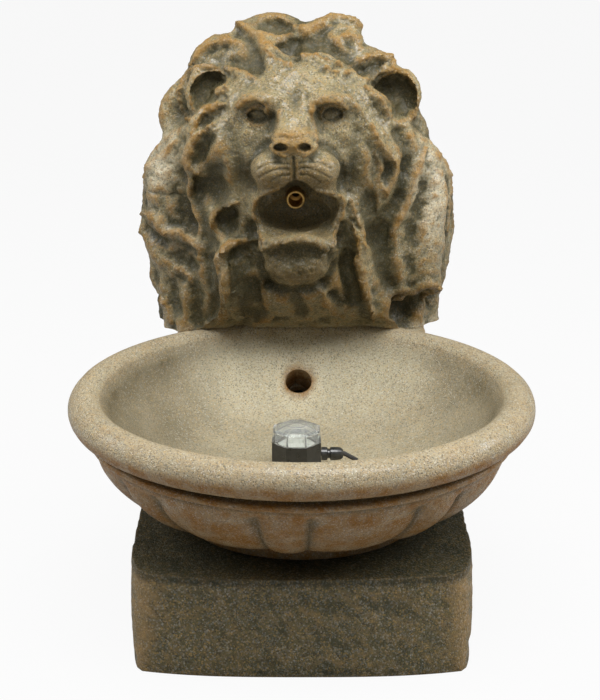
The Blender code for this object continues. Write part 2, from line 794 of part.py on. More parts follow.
def make_strainer():
    half = volute_radius + 0.001
    end = strainer_x + strainer_length
    inner = half - strainer_wall
    strainer = box("intake_strainer", (strainer_x, pump_y - half, pump_z - half),
                   (end, pump_y + half, pump_z + half), black_plastic, round_by=0.0015)
    combine(strainer, box("foam_room", (strainer_x + strainer_wall, pump_y - inner, pump_z - inner),
                          (end - strainer_wall, pump_y + inner, pump_z + inner), None, cutters))
    bush_outer = shaft_radius + gap + bush_wall
    combine(strainer, rod("outer_bush_seat", (strainer_x - overrun, pump_y, pump_z),
                          (strainer_x + strainer_wall + gap, pump_y, pump_z), bush_outer + gap, None,
                          cutters, 24))
    for index in range(eye_count):
        angle = math.tau * index / eye_count
        y = pump_y + eye_ring * math.cos(angle)
        z = pump_z + eye_ring * math.sin(angle)
        combine(strainer, rod(f"eye_{index}", (strainer_x - overrun, y, z),
                              (strainer_x + strainer_wall + gap, y, z), eye_radius, None, cutters, 12))
    pitch = 2 * (half - slot_margin) / slot_count
    for index in range(slot_count):
        low = pump_z - half + slot_margin + pitch * (index + 0.25)
        combine(strainer, box(f"intake_slot_{index}",
                              (strainer_x + slot_margin, pump_y - half - overrun, low),
                              (end - slot_margin, pump_y + half + overrun, low + pitch / 2), None, cutters))
    combine(strainer, rod("dial_seat", (end - strainer_wall - gap, pump_y, pump_z),
                          (end + overrun, pump_y, pump_z), dial_pin_radius + gap, None, cutters, 24))
    dial_x = end + gap
    dial = rod("flow_dial", (dial_x, pump_y, pump_z), (dial_x + dial_thickness, pump_y, pump_z), dial_radius,
               grey_plastic, sides=32)
    dial = bake(dial)
    combine(dial, rod("dial_pin", (end - strainer_wall + gap, pump_y, pump_z),
                      (dial_x + dial_pin_reach, pump_y, pump_z),
                      dial_pin_radius, None, cutters, 24), "UNION")
    for index in range(dial_grips):
        angle = math.tau * index / dial_grips
        y = pump_y + dial_radius * math.cos(angle)
        z = pump_z + dial_radius * math.sin(angle)
        combine(dial, rod(f"dial_grip_{index}", (dial_x - overrun, y, z), (dial_x + 2 * overrun, y, z),
                          dial_grip_radius, None, cutters, 10))
    shim = strainer_wall + gap
    box("filter_foam", (strainer_x + shim + 4 * gap, pump_y - half + shim, pump_z - half + shim),
        (end - shim - 2 * gap, pump_y + half - shim, pump_z + half - shim), foam)
    return strainer


def make_wiring():
    low_x = pump_end_x - pump_length
    gland_start = low_x - gap
    gland = turned("pump_gland", [(0.0, pump_gland_length), (lead_radius * 1.45, pump_gland_length),
                                  (pump_gland_radius, pump_gland_shoulder), (pump_gland_radius, 0.0),
                                  (0.0, 0.0)], black_rubber, steps=24)
    point_along(gland, (gland_start, pump_y, pump_z), (-1, 0, 0))
    gland_end = gland_start - pump_gland_length - gap

    duct_side = column_width / 2 - duct_inset
    junction_low = Vector((-duct_side + gap, back - junction_depth, column_top - junction_drop))
    junction_high = junction_low + Vector(junction_size)
    junction = box("lead_junction", junction_low, junction_high, black_plastic, round_by=0.002)
    base = junction_low.z - gap
    middle_x = (junction_low.x + junction_high.x) / 2
    spread = junction_size[1] / 3
    middle_y = (junction_low.y + junction_high.y) / 2

    tube("pump_lead", [(gland_end - gap, pump_y, pump_z), (gland_end - 0.005, pump_y, pump_z),
                       (gland_end - 0.010, pump_y, pump_z + 0.0003),
                       (gland_end - 0.026, pump_y + 0.006, pump_z + 0.020),
                       (middle_x + 0.004, middle_y - 0.010, deck_top + 0.001),
                       (middle_x, middle_y, base - 0.024), (middle_x, middle_y, base - 0.012),
                       (middle_x, middle_y, base)],
         lead_radius, black_rubber, count=20, sides=2)

    inlet_back = back - skim
    depth = cast_wall + flange_thickness * 3
    pin_end = -flange_thickness * 0.6
    profile = [(0.0, -inlet_socket_depth), (inlet_pin_radius, -inlet_socket_depth),
               (inlet_pin_radius, pin_end), (inlet_socket_radius, pin_end), (inlet_socket_radius, 0.0),
               (inlet_flange, 0.0), (inlet_flange, -flange_thickness), (inlet_radius, -flange_thickness),
               (inlet_radius, -depth), (0.0, -depth)]
    inlet = turned("power_inlet", profile, black_plastic, steps=24)
    point_along(inlet, (inlet_x, inlet_back, inlet_z), (0, 1, 0))
    inlet_inner = inlet_back - depth - gap
    tube("inlet_lead", [(inlet_x, inlet_inner - gap, inlet_z), (inlet_x, inlet_inner - 0.004, inlet_z),
                        (inlet_x, inlet_inner - 0.008, inlet_z + 0.001),
                        (middle_x + 0.004, middle_y + spread + 0.002, base - 0.016),
                        (middle_x, middle_y + spread, base - 0.006),
                        (middle_x, middle_y + spread, base - gap)],
         lead_radius, black_rubber, count=16, sides=2)
    return junction, Vector((middle_x, middle_y - spread, base))


def make_drain_plug():
    profile = [(0.0, 0.0), (drain_flange, 0.0), (drain_flange, -flange_thickness),
               (drain_radius, -flange_thickness), (drain_radius - drain_taper, -cast_wall),
               (0.0, -cast_wall)]
    plug = turned("drain_plug", profile, black_rubber, steps=32)
    return point_along(plug, (drain_x, back - skim, drain_z), (0, 1, 0))


# Lamp


def octagon(width):
    """Circumscribed radius of an octagon measured across its flats."""
    return width / 2 / math.cos(math.pi / 8)


def eight_sided(name, profile, material, collection=parts, closed=False):
    """An octagonal turning whose profile is given across the flats."""
    corners = [(octagon(2 * radius), height) for radius, height in profile]
    made = turned(name, corners, material, collection, steps=8, closed=closed)
    made.data.shade_flat()
    made.modifiers["turn"].use_smooth_shade = False
    made.rotation_euler = (0, 0, math.pi / 8)
    made.location = (lamp_x, basin_y, 0.0)
    return made


def make_lamp(junction_point):
    half = lamp_width / 2
    top = lamp_base + lamp_height
    inside = half - lamp_wall
    shelf = top - lens_shelf_drop
    housing = eight_sided("lamp_housing", [(0.0, lamp_base + 0.003), (inside, lamp_base + 0.003),
                                           (inside, top),
                                           (half, top), (half, lamp_base + 0.001), (half - 0.001, lamp_base),
                                           (0.0, lamp_base)], black_plastic)
    # The wall's profile runs from the floor inside up over the lip and down outside.
    gland_z = dish_floor + lamp_gland_drop
    gland_x = lamp_x + half
    combine(housing, rod("gland_bore", (gland_x - 0.006, basin_y, gland_z),
                         (gland_x + overrun, basin_y, gland_z),
                         lead_radius + gap, None, cutters, 16))
    radius = lamp_gland_radius
    tip = lamp_gland_length
    profile = [(lead_radius + gap, tip), (radius * 0.62, tip), (radius * 0.92, tip - 0.002),
               (radius, tip - 0.005),
               (radius, 0.008), (radius * 0.72, 0.0072), (radius * 0.72, 0.0056), (radius, 0.005),
               (radius, 0.0),
               (lead_radius + gap, 0.0)]
    gland = turned("lamp_gland", profile, black_plastic, steps=20, closed=True)
    point_along(gland, (gland_x + gap, basin_y, gland_z), (1, 0, 0))

    lead_start = Vector((gland_x - 0.004, basin_y, gland_z))
    junction_x, junction_y, junction_z = junction_point
    under_deck = deck_bottom - 0.012
    route = [lead_start, (gland_x + tip, basin_y, gland_z),
             (gland_x + tip + 0.005, basin_y, gland_z - 0.0004),
             (grommet_x - 0.0014, basin_y, gland_z - 0.0045), (grommet_x, basin_y, dish_floor + 0.004),
             (grommet_x, basin_y, dish_floor - 0.004), (grommet_x, basin_y, dish_floor - 0.012),
             (grommet_x, basin_y, deck_bottom - 0.004), (grommet_x - 0.012, basin_y + 0.030, under_deck),
             (grommet_x / 5, column_front - 0.040, under_deck),
             (-grommet_x, column_front, under_deck + 0.002),
             (junction_x + 0.013, column_front + 0.028, deck_bottom + 0.004),
             (junction_x + 0.004, junction_y - 0.026, junction_z - 0.044)]
    route += [(junction_x, junction_y, junction_z - drop) for drop in (0.024, 0.012, 0.0)]
    tube("lamp_lead", route, lead_radius, black_rubber, count=34, sides=2)
    grommet_top = dish_floor + grommet_head
    grommet_foot = dish_floor - grommet_depth
    bore = lead_radius + 3 * gap
    collar = grommet_radius + grommet_collar
    profile = [(bore, grommet_top), (collar, grommet_top), (collar, dish_floor + gap),
               (grommet_radius, dish_floor + gap), (grommet_radius, grommet_foot), (bore, grommet_foot)]
    grommet = turned("lamp_grommet", profile, black_rubber, steps=20, closed=True)
    grommet.location = (grommet_x, basin_y, 0.0)

    ring_half = half - lamp_wall - gap
    seal = eight_sided("lens_seal", [(ring_half - seal_width, shelf + seal_thickness),
                                     (ring_half, shelf + seal_thickness),
                                     (ring_half, shelf), (ring_half - seal_width, shelf)], black_rubber,
                       closed=True)
    board = eight_sided("led_board", [(0.0, shelf - gap), (ring_half, shelf - gap),
                                      (ring_half, shelf - gap - board_thickness),
                                      (0.0, shelf - gap - board_thickness)],
                        board_green)
    post = shelf - gap - board_thickness - gap
    combine(housing, rod("board_post", (lamp_x, basin_y, lamp_base + gap), (lamp_x, basin_y, post),
                         board_post_radius, None, cutters, 20), "UNION")
    for index in range(led_count):
        angle = math.tau * index / led_count
        x = lamp_x + led_ring * math.cos(angle)
        y = basin_y + led_ring * math.sin(angle)
        combine(board, rod(f"led_{index}", (x, y, shelf - 3 * gap), (x, y, shelf + led_height), led_radius,
                           None, cutters, 12), "UNION")

    skirt = lens_base + lens_skirt
    crown = skirt + lens_dome
    spigot = shelf + seal_thickness + gap
    spigot_half = half - lamp_wall - gap
    lens_profile = [(0.0, crown), (half * 0.42, crown - 0.0010), (half * 0.78, skirt + 0.0022),
                    (half - 0.0012, skirt),
                    (half, lens_base + 0.0012), (half, lens_base), (spigot_half, lens_base),
                    (spigot_half, spigot),
                    (spigot_half - lens_wall, spigot), (spigot_half - lens_wall, skirt - 0.0016),
                    (half * 0.74, skirt + 0.0004), (half * 0.40, crown - 0.0028), (0.0, crown - 0.0020)]
    eight_sided("lamp_lens", lens_profile, clear_plastic)
    return housing


# Lion's head, in millimetres from the middle of the floor

head_voxel = 3.2
head_fill = 7.0
head_inset = 0.6
head_triangles = 5800

face_masses = {
    "skull": [((-4, 120, 418), (77, 56, 47)), ((-4, 104, 436), (52, 38, 30))],
    "cheeks": [((-52, 116, 388), (40, 42, 46)), ((44, 116, 388), (40, 42, 46)),
               ((-44, 122, 340), (42, 34, 50)), ((36, 122, 340), (42, 34, 50))],
    "snout": [((-5, 84, 390), (33, 47, 31)), ((-7, 62, 402), (18, 28, 16))],
    "muzzle_pads": [((-25, 62, 377), (21, 25, 19)), ((14, 62, 377), (21, 25, 19)),
                    ((-6, 54, 384), (12, 15, 12))],
    "nose_pad": [((-8, 43, 403), (18, 12, 9.5)), ((-8, 52, 412), (16, 16, 8))],
    "jaw": [((-4, 84, 288), (33, 34, 20)), ((-4, 100, 300), (36, 40, 26))],
    "brow": [((-30, 78, 434), (22, 15, 8)), ((22, 78, 434), (22, 15, 8)), ((-22, 70, 431), (9, 9, 8)),
             ((14, 70, 431), (9, 9, 8))],
    "neck": [((-4, 150, 270), (100, 44, 80)), ((-4, 140, 230), (90, 34, 40)), ((0, 168, 225), (122, 46, 60))],
    "mane_core": [((-4, 172, 340), (126, 44, 128)), ((-4, 165, 420), (104, 44, 62)),
                  ((-4, 172, 455), (62, 34, 34)),
                  ((-2, 196, 330), (122, 38, 132)), ((-2, 190, 235), (118, 36, 56)),
                  ((-4, 190, 410), (98, 34, 66)),
                  ((-86, 152, 335), (34, 30, 92)), ((78, 150, 335), (34, 30, 92)),
                  ((0, 150, 232), (116, 34, 50))],
}

face_ridges = {
    "nose_bridge": [(-5, 84, 434, 14), (-6, 70, 424, 15), (-7, 56, 413, 15)],
    "brow_left": [(-14, 66, 432, 6), (-30, 66, 437, 7), (-46, 74, 434, 7), (-58, 84, 424, 6)],
    "brow_right": [(6, 66, 432, 6), (22, 66, 437, 7), (38, 74, 434, 7), (50, 84, 424, 6)],
    "cheek_bone_left": [(-24, 74, 408, 9), (-42, 80, 404, 10), (-60, 92, 400, 11)],
    "cheek_bone_right": [(16, 74, 408, 9), (34, 80, 404, 10), (52, 92, 400, 11)],
    "lip_left": [(-8, 44, 373, 4), (-21, 51, 363, 5), (-35, 63, 354, 5), (-42, 75, 345, 4)],
    "lip_right": [(-4, 44, 373, 4), (11, 51, 363, 5), (27, 63, 354, 5), (35, 75, 345, 4)],
    "mouth_edge_left": [(-41, 77, 347, 4), (-42, 82, 336, 5), (-38, 79, 320, 5), (-33, 70, 304, 5)],
    "mouth_edge_right": [(34, 77, 347, 4), (35, 82, 336, 5), (31, 79, 320, 5), (25, 70, 304, 5)],
    "lower_lip": [(-33, 66, 305, 7), (-20, 56, 312, 7), (-4, 53, 314, 7.5), (12, 56, 312, 7),
                  (25, 66, 305, 7)],
    "jaw_left": [(-34, 110, 312, 14), (-28, 84, 296, 14), (-16, 68, 287, 12)],
    "jaw_right": [(26, 110, 312, 14), (20, 84, 296, 14), (8, 68, 287, 12)],
}

crown_locks = {
    "crest_left": [(-31, 128, 467, 13), (-39, 140, 475, 15), (-46, 150, 483, 13), (-54, 150, 489, 6)],
    "crest_left_top": [(-48, 158, 487, 9), (-32, 160, 491, 11), (-15, 162, 490, 11), (0, 160, 481, 9)],
    "crest_left_lip": [(-51, 142, 489, 5), (-35, 136, 481, 7), (-19, 134, 478, 6), (-10, 140, 479, 4)],
    "crest_right": [(2, 135, 475, 12), (14, 145, 483, 14), (31, 152, 487, 15), (45, 150, 488, 11),
                    (52, 148, 488, 6)],
    "crest_right_low": [(16, 128, 472, 12), (31, 132, 472, 14), (43, 138, 469, 13), (51, 142, 470, 8)],
    "crest_valley": [(0, 140, 469, 12), (-2, 155, 475, 13), (-2, 170, 478, 12)],
    "shoulder_left": [(-48, 135, 463, 14), (-60, 145, 468, 14), (-78, 155, 465, 15), (-94, 155, 454, 12)],
    "shoulder_left_rim": [(-53, 160, 472, 8), (-66, 164, 470, 9), (-81, 167, 464, 9), (-96, 167, 450, 8)],
    "shoulder_right": [(45, 130, 464, 10), (62, 140, 459, 13), (77, 150, 451, 11), (85, 150, 446, 6)],
    "shoulder_right_low": [(34, 118, 462, 8), (51, 125, 456, 9), (66, 135, 455, 8), (81, 145, 447, 6)],
    "forelock_left": [(-37, 125, 473, 9), (-27, 112, 470, 8), (-18, 100, 465, 7), (-9, 90, 460, 4)],
    "forelock_right": [(0, 112, 463, 6), (12, 106, 466, 8), (24, 99, 463, 8), (35, 92, 458, 4)],
    "forelock_far": [(39, 106, 454, 5), (49, 108, 450, 6), (58, 114, 446, 4)],
    "temple_left": [(-67, 135, 449, 7), (-54, 118, 450, 7), (-40, 102, 450, 4)],
    "temple_knob": [(-64, 106, 440, 5), (-71, 108, 435, 7), (-74, 114, 430, 5)],
}

left_locks = {
    "ear_back_left": [(-98, 158, 437, 11), (-112, 162, 424, 13), (-120, 163, 406, 14), (-123, 158, 389, 7)],
    "mane_left_upper": [(-103, 135, 394, 10), (-121, 145, 377, 12), (-135, 155, 360, 12),
                        (-142, 160, 342, 9)],
    "mane_left_lobe": [(-112, 144, 376, 18), (-121, 150, 353, 22), (-124, 152, 333, 23),
                       (-124, 148, 312, 20)],
    "mane_left_back": [(-137, 170, 353, 12), (-139, 172, 328, 14), (-141, 172, 305, 13), (-152, 165, 291, 5)],
    "flame_left": [(-143, 154, 313, 6), (-134, 145, 305, 9), (-118, 134, 296, 10), (-103, 126, 290, 8),
                   (-94, 122, 277, 4)],
    "flame_left_low": [(-142, 158, 292, 8), (-134, 152, 276, 13), (-122, 144, 268, 13), (-110, 136, 257, 10),
                       (-100, 130, 248, 5)],
    "tail_left_outer": [(-139, 168, 277, 9), (-137, 168, 254, 11), (-138, 165, 241, 8), (-135, 160, 233, 4)],
    "tail_left_mid": [(-126, 152, 259, 10), (-126, 150, 237, 11), (-123, 146, 217, 11), (-121, 142, 196, 11)],
    "tail_left_back": [(-128, 178, 235, 14), (-126, 178, 214, 15), (-124, 174, 192, 15)],
    "tail_left_inner": [(-108, 134, 264, 8), (-106, 131, 246, 10), (-109, 132, 223, 11),
                        (-107, 133, 196, 12)],
    "ruff_left_top": [(-70, 104, 425, 6), (-89, 108, 413, 8), (-98, 110, 398, 8), (-99, 112, 386, 6)],
    "ruff_left_mid": [(-82, 106, 404, 8), (-95, 108, 391, 9), (-101, 110, 372, 9), (-97, 108, 355, 7),
                      (-102, 113, 340, 4)],
    "ruff_left_low": [(-97, 120, 346, 9), (-93, 115, 330, 10), (-86, 110, 316, 9), (-93, 115, 296, 7)],
    "ruff_left_curl": [(-58, 94, 339, 5), (-72, 98, 333, 7), (-81, 101, 318, 8), (-80, 106, 302, 6)],
}

right_locks = {
    "ear_back_right": [(96, 158, 414, 11), (105, 163, 394, 13), (112, 165, 380, 10), (117, 160, 374, 5)],
    "mane_right_upper": [(105, 140, 385, 10), (117, 150, 369, 13), (129, 160, 353, 11), (138, 165, 343, 7)],
    "mane_right_lobe": [(112, 142, 363, 18), (114, 144, 337, 23), (111, 142, 309, 25), (110, 140, 280, 25),
                        (113, 136, 259, 19), (127, 132, 245, 6)],
    "mane_right_back": [(128, 167, 345, 14), (130, 168, 313, 16), (130, 168, 282, 16), (129, 165, 246, 10)],
    "mane_right_edge": [(105, 126, 379, 5), (98, 118, 355, 8), (88, 114, 325, 8), (84, 114, 295, 8),
                        (87, 117, 264, 8), (93, 122, 241, 5)],
    "tail_right_outer": [(124, 170, 235, 13), (120, 170, 214, 14), (122, 168, 192, 15)],
    "tail_right_mid": [(114, 148, 230, 7), (108, 147, 214, 10), (104, 145, 196, 12)],
    "tail_right_inner": [(84, 134, 241, 9), (87, 134, 220, 10), (90, 135, 196, 12)],
    "ruff_right_top": [(51, 98, 440, 6), (65, 102, 432, 8), (75, 107, 421, 8), (77, 110, 414, 5)],
    "ruff_right_mid": [(66, 103, 419, 7), (75, 106, 400, 8), (84, 108, 383, 9), (87, 108, 368, 8),
                       (80, 106, 351, 7), (75, 110, 340, 4)],
    "ruff_right_back": [(83, 122, 409, 10), (93, 124, 392, 11), (99, 126, 370, 11), (95, 124, 349, 10),
                        (88, 122, 333, 8)],
    "ruff_right_low": [(58, 92, 386, 7), (63, 94, 365, 8), (65, 96, 343, 9), (69, 104, 322, 9)],
    "cheek_lock_right": [(45, 90, 342, 6), (53, 93, 324, 8), (57, 98, 304, 8), (59, 105, 289, 5)],
}

beard_locks = {
    "beard_left_outer": [(-83, 116, 296, 7), (-87, 116, 277, 10), (-84, 118, 255, 10), (-80, 122, 229, 10),
                         (-85, 128, 200, 12)],
    "beard_left_ridge": [(-55, 92, 303, 5), (-70, 95, 291, 7), (-76, 99, 273, 8), (-74, 106, 249, 9),
                         (-68, 120, 222, 9), (-64, 130, 203, 9)],
    "beard_left_inner": [(-40, 90, 276, 7), (-35, 94, 260, 8), (-35, 102, 239, 8), (-43, 113, 221, 9),
                         (-51, 124, 203, 9)],
    "beard_centre_left": [(-21, 88, 262, 8), (-21, 96, 243, 9), (-29, 110, 225, 10), (-38, 124, 204, 10)],
    "beard_centre": [(-7, 84, 262, 10), (-3, 95, 240, 12), (-2, 108, 221, 14), (0, 122, 202, 14)],
    "beard_centre_right": [(12, 86, 264, 8), (17, 95, 247, 8), (30, 109, 229, 9), (42, 124, 204, 9)],
    "beard_right_inner": [(23, 88, 286, 7), (29, 94, 266, 8), (34, 104, 243, 9), (47, 117, 220, 9),
                          (56, 130, 203, 8)],
    "beard_right_ridge": [(46, 94, 318, 6), (52, 95, 296, 8), (54, 99, 271, 8), (58, 107, 247, 9),
                          (68, 122, 218, 9), (74, 130, 202, 9)],
    "beard_right_outer": [(63, 108, 305, 7), (67, 109, 283, 10), (72, 113, 258, 10), (77, 120, 234, 11),
                          (80, 128, 200, 12)],
}

mouth_masses = [((-4, 72, 343), (33, 30, 19)), ((-4, 82, 330), (32, 26, 15)), ((-4, 60, 352), (16, 24, 17)),
                ((-4, 84, 344), (30, 14, 20))]
ear_cups = {"left": (-84, 138, 430, math.radians(24)), "right": (88, 138, 429, math.radians(-24))}
eye_places = {"left": (-38.5, 420), "right": (26.5, 421.5)}
nostril_places = {"left": (-19, 400), "right": (3, 400)}


class Clay:
    """Overlapping balls gathered as one mesh, before they are melted together."""

    def __init__(self, grow=0.0):
        self.grow = grow
        self.points = []
        self.faces = []
        self.balls = {}

    def unit_ball(self, detail):
        if detail not in self.balls:
            work = bmesh.new()
            bmesh.ops.create_uvsphere(work, u_segments=detail, v_segments=detail // 2, radius=1.0)
            work.verts.index_update()
            points = np.array([vertex.co[:] for vertex in work.verts])
            self.balls[detail] = (points, [[vertex.index for vertex in face.verts] for face in work.faces])
            work.free()
        return self.balls[detail]

    def ball(self, centre, radii, turn=(0, 0, 0), detail=20):
        points, faces = self.unit_ball(detail)
        grown = points * (np.array(radii) + self.grow)
        turned_points = grown @ np.array(Euler(turn).to_matrix()).T
        first = len(self.points)
        self.points += (turned_points + np.array(centre)).tolist()
        self.faces += [[first + index for index in face] for face in faces]

    def lock(self, route):
        """A tapering strand: balls strung closely on a smooth curve through its points."""
        centres = smooth_route([point[:3] for point in route], 4 * len(route))
        radii = [point[3] for point in route]
        for index, centre in enumerate(centres):
            share = index / (len(centres) - 1)
            radius = float(np.interp(share, np.linspace(0, 1, len(radii)), radii))
            self.ball(centre, (radius, radius, radius), detail=12)

    def melted(self, name, voxel, rounds):
        mesh = bpy.data.meshes.new(name)
        mesh.from_pydata(self.points, [], self.faces)
        form = place(bpy.data.objects.new(name, mesh), None, cutters)
        melt = form.modifiers.new("melt", "REMESH")
        melt.mode = "VOXEL"
        melt.voxel_size = voxel
        relax = form.modifiers.new("relax", "SMOOTH")
        relax.factor = 0.5
        relax.iterations = rounds
        return bake(form)


def stroke(co, normals, line, width, height, push=None):
    """Raise or press the surface along a line of points, fading to nothing at its width."""
    span = np.full(len(co), np.inf)
    for point in line:
        offset = co - point
        span = np.minimum(span, (offset * offset).sum(axis=1))
    share = np.clip(1.0 - np.sqrt(span) / width, 0.0, 1.0)
    fade = share * share * (3.0 - 2.0 * share)
    direction = normals if push is None else np.array(push)
    co += direction * (fade * height)[:, None]


def dent(co, centre, radii, depth, power=2.0):
    """Press a rounded hollow backwards into the front of the head."""
    offset = (co - np.array(centre)) / np.array(radii)
    share = np.clip(1.0 - (offset * offset).sum(axis=1), 0.0, 1.0)
    co[:, 1] += depth * share ** (1.0 / power)


def build_head_form():
    """Everything is melted a little too large and drawn in again, which fills narrow crevices."""
    clay = Clay(head_fill)
    for balls in face_masses.values():
        for centre, radii in balls:
            clay.ball(centre, radii, detail=32)
    for group in (face_ridges, crown_locks, left_locks, right_locks, beard_locks):
        for route in group.values():
            clay.lock(route)
    for x, y, z, turn in ear_cups.values():
        clay.ball((x, y, z), (24, 13, 26), (0, 0, turn), 24)
    form = clay.melted("lion_head_form", head_voxel, 3)
    draw_in = form.modifiers.new("draw_in", "DISPLACE")
    draw_in.mid_level = 0.0
    draw_in.strength = -head_fill - head_inset
    melt = form.modifiers.new("melt", "REMESH")
    melt.mode = "VOXEL"
    melt.voxel_size = head_voxel
    relax = form.modifiers.new("relax", "SMOOTH")
    relax.factor = 0.5
    relax.iterations = 1
    return bake(form)


def carve_head(mesh):
    count = len(mesh.vertices)
    co = np.empty(count * 3)
    mesh.vertices.foreach_get("co", co)
    co = co.reshape(count, 3)
    normals = np.array([vertex.normal[:] for vertex in mesh.vertices])
    for side, (x, y, z, turn) in ear_cups.items():
        dent(co, (x + math.sin(turn) * 9, y - 14, z - 1), (20, 22, 22), 17)
    for x, z in eye_places.values():
        dent(co, (x, 70, z), (10.5, 24, 9.5), 8)
        stroke(co, normals, np.array([(x, 80, z)]), 9, 5.0, (0, -1, 0))
    for x, z in nostril_places.values():
        dent(co, (x, 33, z), (6, 10, 4.5), 5)
    mesh.vertices.foreach_set("co", co.ravel())
    mesh.update()


def make_head():
    form = build_head_form()
    carve_head(form.data)
    thin = form.modifiers.new("thin", "DECIMATE")
    thin.ratio = head_triangles / sum(len(face.vertices) - 2 for face in form.data.polygons)
    head_mesh = solid_mesh(form)
    head_place = Matrix.Translation((0, back - head_depth, 0)) @ Matrix.Scale(0.001, 4)
    head_mesh.transform(head_place)
    head_mesh.name = "lion_head"
    bpy.data.objects.remove(form, do_unlink=True)
    head = place(bpy.data.objects.new("lion_head", head_mesh), sandstone)

    clay = Clay()
    for centre, radii in mouth_masses:
        clay.ball(centre, radii, detail=24)
    mouth = clay.melted("mouth_form", 2.6, 4)
    thin = mouth.modifiers.new("thin", "DECIMATE")
    thin.ratio = 0.25
    mouth = bake(mouth)
    mouth.data.transform(head_place)
    combine(head, mouth)
    combine(head, box("head_back_trim", (-0.3, back, 0.1), (0.3, back + 0.2, 0.7), None, cutters))
    combine(head, box("head_base_trim", (-0.3, -0.3, 0.0), (0.3, 0.5, head_base), None, cutters))
    combine(head, basin_envelope("head_seat", gap))
    combine(head, box("head_core", (-0.054, core_front, head_base - 0.02), (0.048, back - 0.012, core_top),
                      None, cutters, 0.02))
    combine(head, rod("hose_room", (spout_x, mouth_floor_y + 0.0165, spout_z),
                      (spout_x, core_front + 0.02, spout_z),
                      hose_room_radius, None, cutters))
    combine(head, rod("spout_bore", (spout_x, mouth_floor_y - 0.02, spout_z),
                      (spout_x, mouth_floor_y + 0.05, spout_z),
                      spout_radius + gap, None, cutters, 28))
    head.data.shade_smooth()
    return head


make_plinth()
make_column()
make_access_panel()
make_basin()
make_head()
make_spout()
make_hose()
make_pump()
make_strainer()
junction_box, lamp_lead_end = make_wiring()
make_lamp(lamp_lead_end)
make_drain_plug()
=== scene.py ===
import math

import bmesh
import bpy
import numpy as np
from mathutils import Matrix, Vector


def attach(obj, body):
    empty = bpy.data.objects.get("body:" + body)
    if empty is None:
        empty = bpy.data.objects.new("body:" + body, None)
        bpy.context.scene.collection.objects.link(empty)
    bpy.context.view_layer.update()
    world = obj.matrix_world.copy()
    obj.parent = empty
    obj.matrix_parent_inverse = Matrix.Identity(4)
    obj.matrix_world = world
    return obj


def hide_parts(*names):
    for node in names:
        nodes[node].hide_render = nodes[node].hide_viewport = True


# The lion's head fountain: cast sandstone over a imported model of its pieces. Metres, front towards -Y.
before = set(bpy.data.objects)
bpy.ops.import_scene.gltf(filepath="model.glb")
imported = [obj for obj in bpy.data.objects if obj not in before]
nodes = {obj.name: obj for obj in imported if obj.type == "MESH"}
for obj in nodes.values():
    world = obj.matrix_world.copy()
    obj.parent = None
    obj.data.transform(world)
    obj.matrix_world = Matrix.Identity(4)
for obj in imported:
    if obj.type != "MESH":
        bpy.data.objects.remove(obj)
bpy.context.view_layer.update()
bpy.ops.object.select_all(action="DESELECT")
print("frame loaded:", len(nodes), "nodes")


# Shader helpers


def setInputs(tree, node, values):
    for key, value in values.items():
        if isinstance(value, bpy.types.NodeSocket):
            tree.links.new(value, node.inputs[key])
        else:
            node.inputs[key].default_value = value
    return node


def addNode(tree, kind, values=None, **settings):
    node = tree.nodes.new("ShaderNode" + kind)
    for key, value in settings.items():
        setattr(node, key, value)
    return setInputs(tree, node, values or {})


def mixColours(tree, amount, first, second):
    first, second = (tint if isinstance(tint, bpy.types.NodeSocket) else (*tint, 1) for tint in (first, second))
    return addNode(tree, "Mix", {0: amount, 6: first, 7: second}, data_type="RGBA").outputs[2]


def doMath(tree, operation, first, second, clamp=False):
    return addNode(tree, "Math", {0: first, 1: second}, operation=operation, use_clamp=clamp).outputs[0]


def multiply(tree, first, second, clamp=False):
    return doMath(tree, "MULTIPLY", first, second, clamp)


def ramp(tree, value, low=0.0, high=1.0, toLow=0.0, toHigh=1.0):
    return addNode(tree, "MapRange", {"Value": value, "From Min": low, "From Max": high,
                                      "To Min": toLow, "To Max": toHigh}).outputs["Result"]


def addBump(tree, height, strength, distance, **under):
    values = {"Strength": strength, "Distance": distance, "Height": height, **under}
    return addNode(tree, "Bump", values).outputs["Normal"]


def newGroup(name, scales, outputs):
    group = bpy.data.node_groups.new(name, "ShaderNodeTree")
    group.interface.new_socket("Vector", in_out="INPUT", socket_type="NodeSocketVector")
    for label, value in scales.items():
        group.interface.new_socket(label, in_out="INPUT", socket_type="NodeSocketFloat").default_value = value
    for label in outputs:
        group.interface.new_socket(label, in_out="OUTPUT", socket_type="NodeSocketFloat")
    return group, group.nodes.new("NodeGroupInput").outputs, group.nodes.new("NodeGroupOutput")


def useGroup(tree, group, values):
    node = tree.nodes.new("ShaderNodeGroup")
    node.node_tree = group
    return setInputs(tree, node, {"Vector": addNode(tree, "TexCoord").outputs["Object"], **values}).outputs


def newMaterial(name):
    material = bpy.data.materials.new(name)
    material.use_nodes = True
    return material, material.node_tree, material.node_tree.nodes["Principled BSDF"]


# Camera, floor and lights

studio = {
    "eye": (-0.0015, -1.3118, 0.6787),
    "tilt": 71.12,  # degrees up from straight down
    "lens": 82.3,
    "floorSize": 12.0,
    "paper": (0.42, 0.42, 0.42, 1.0),
    "paperRough": 0.9,
    "paperGlow": 0.93,  # how much of the paper's white the camera sees without shade
    "white": (1.0, 1.0, 1.0, 1.0),
    "worldLight": 0.13,
    "softboxes": {  # place, aim, size and power
        "over": ((0.0, -0.50, 1.70), (0.0, -0.05, 0.2), 1.1, 27.5),
        "overRight": ((0.62, -0.62, 1.35), (0.0, 0.0, 0.25), 0.35, 3.5),
        "left": ((-1.4, 0.10, 1.0), (0.0, 0.0, 0.25), 1.0, 14.0),
        "right": ((1.4, 0.0, 1.0), (0.0, 0.0, 0.25), 1.0, 17.0),
        "front": ((0.0, -2.0, 0.9), (0.0, 0.0, 0.25), 1.4, 1.8),
    },
}


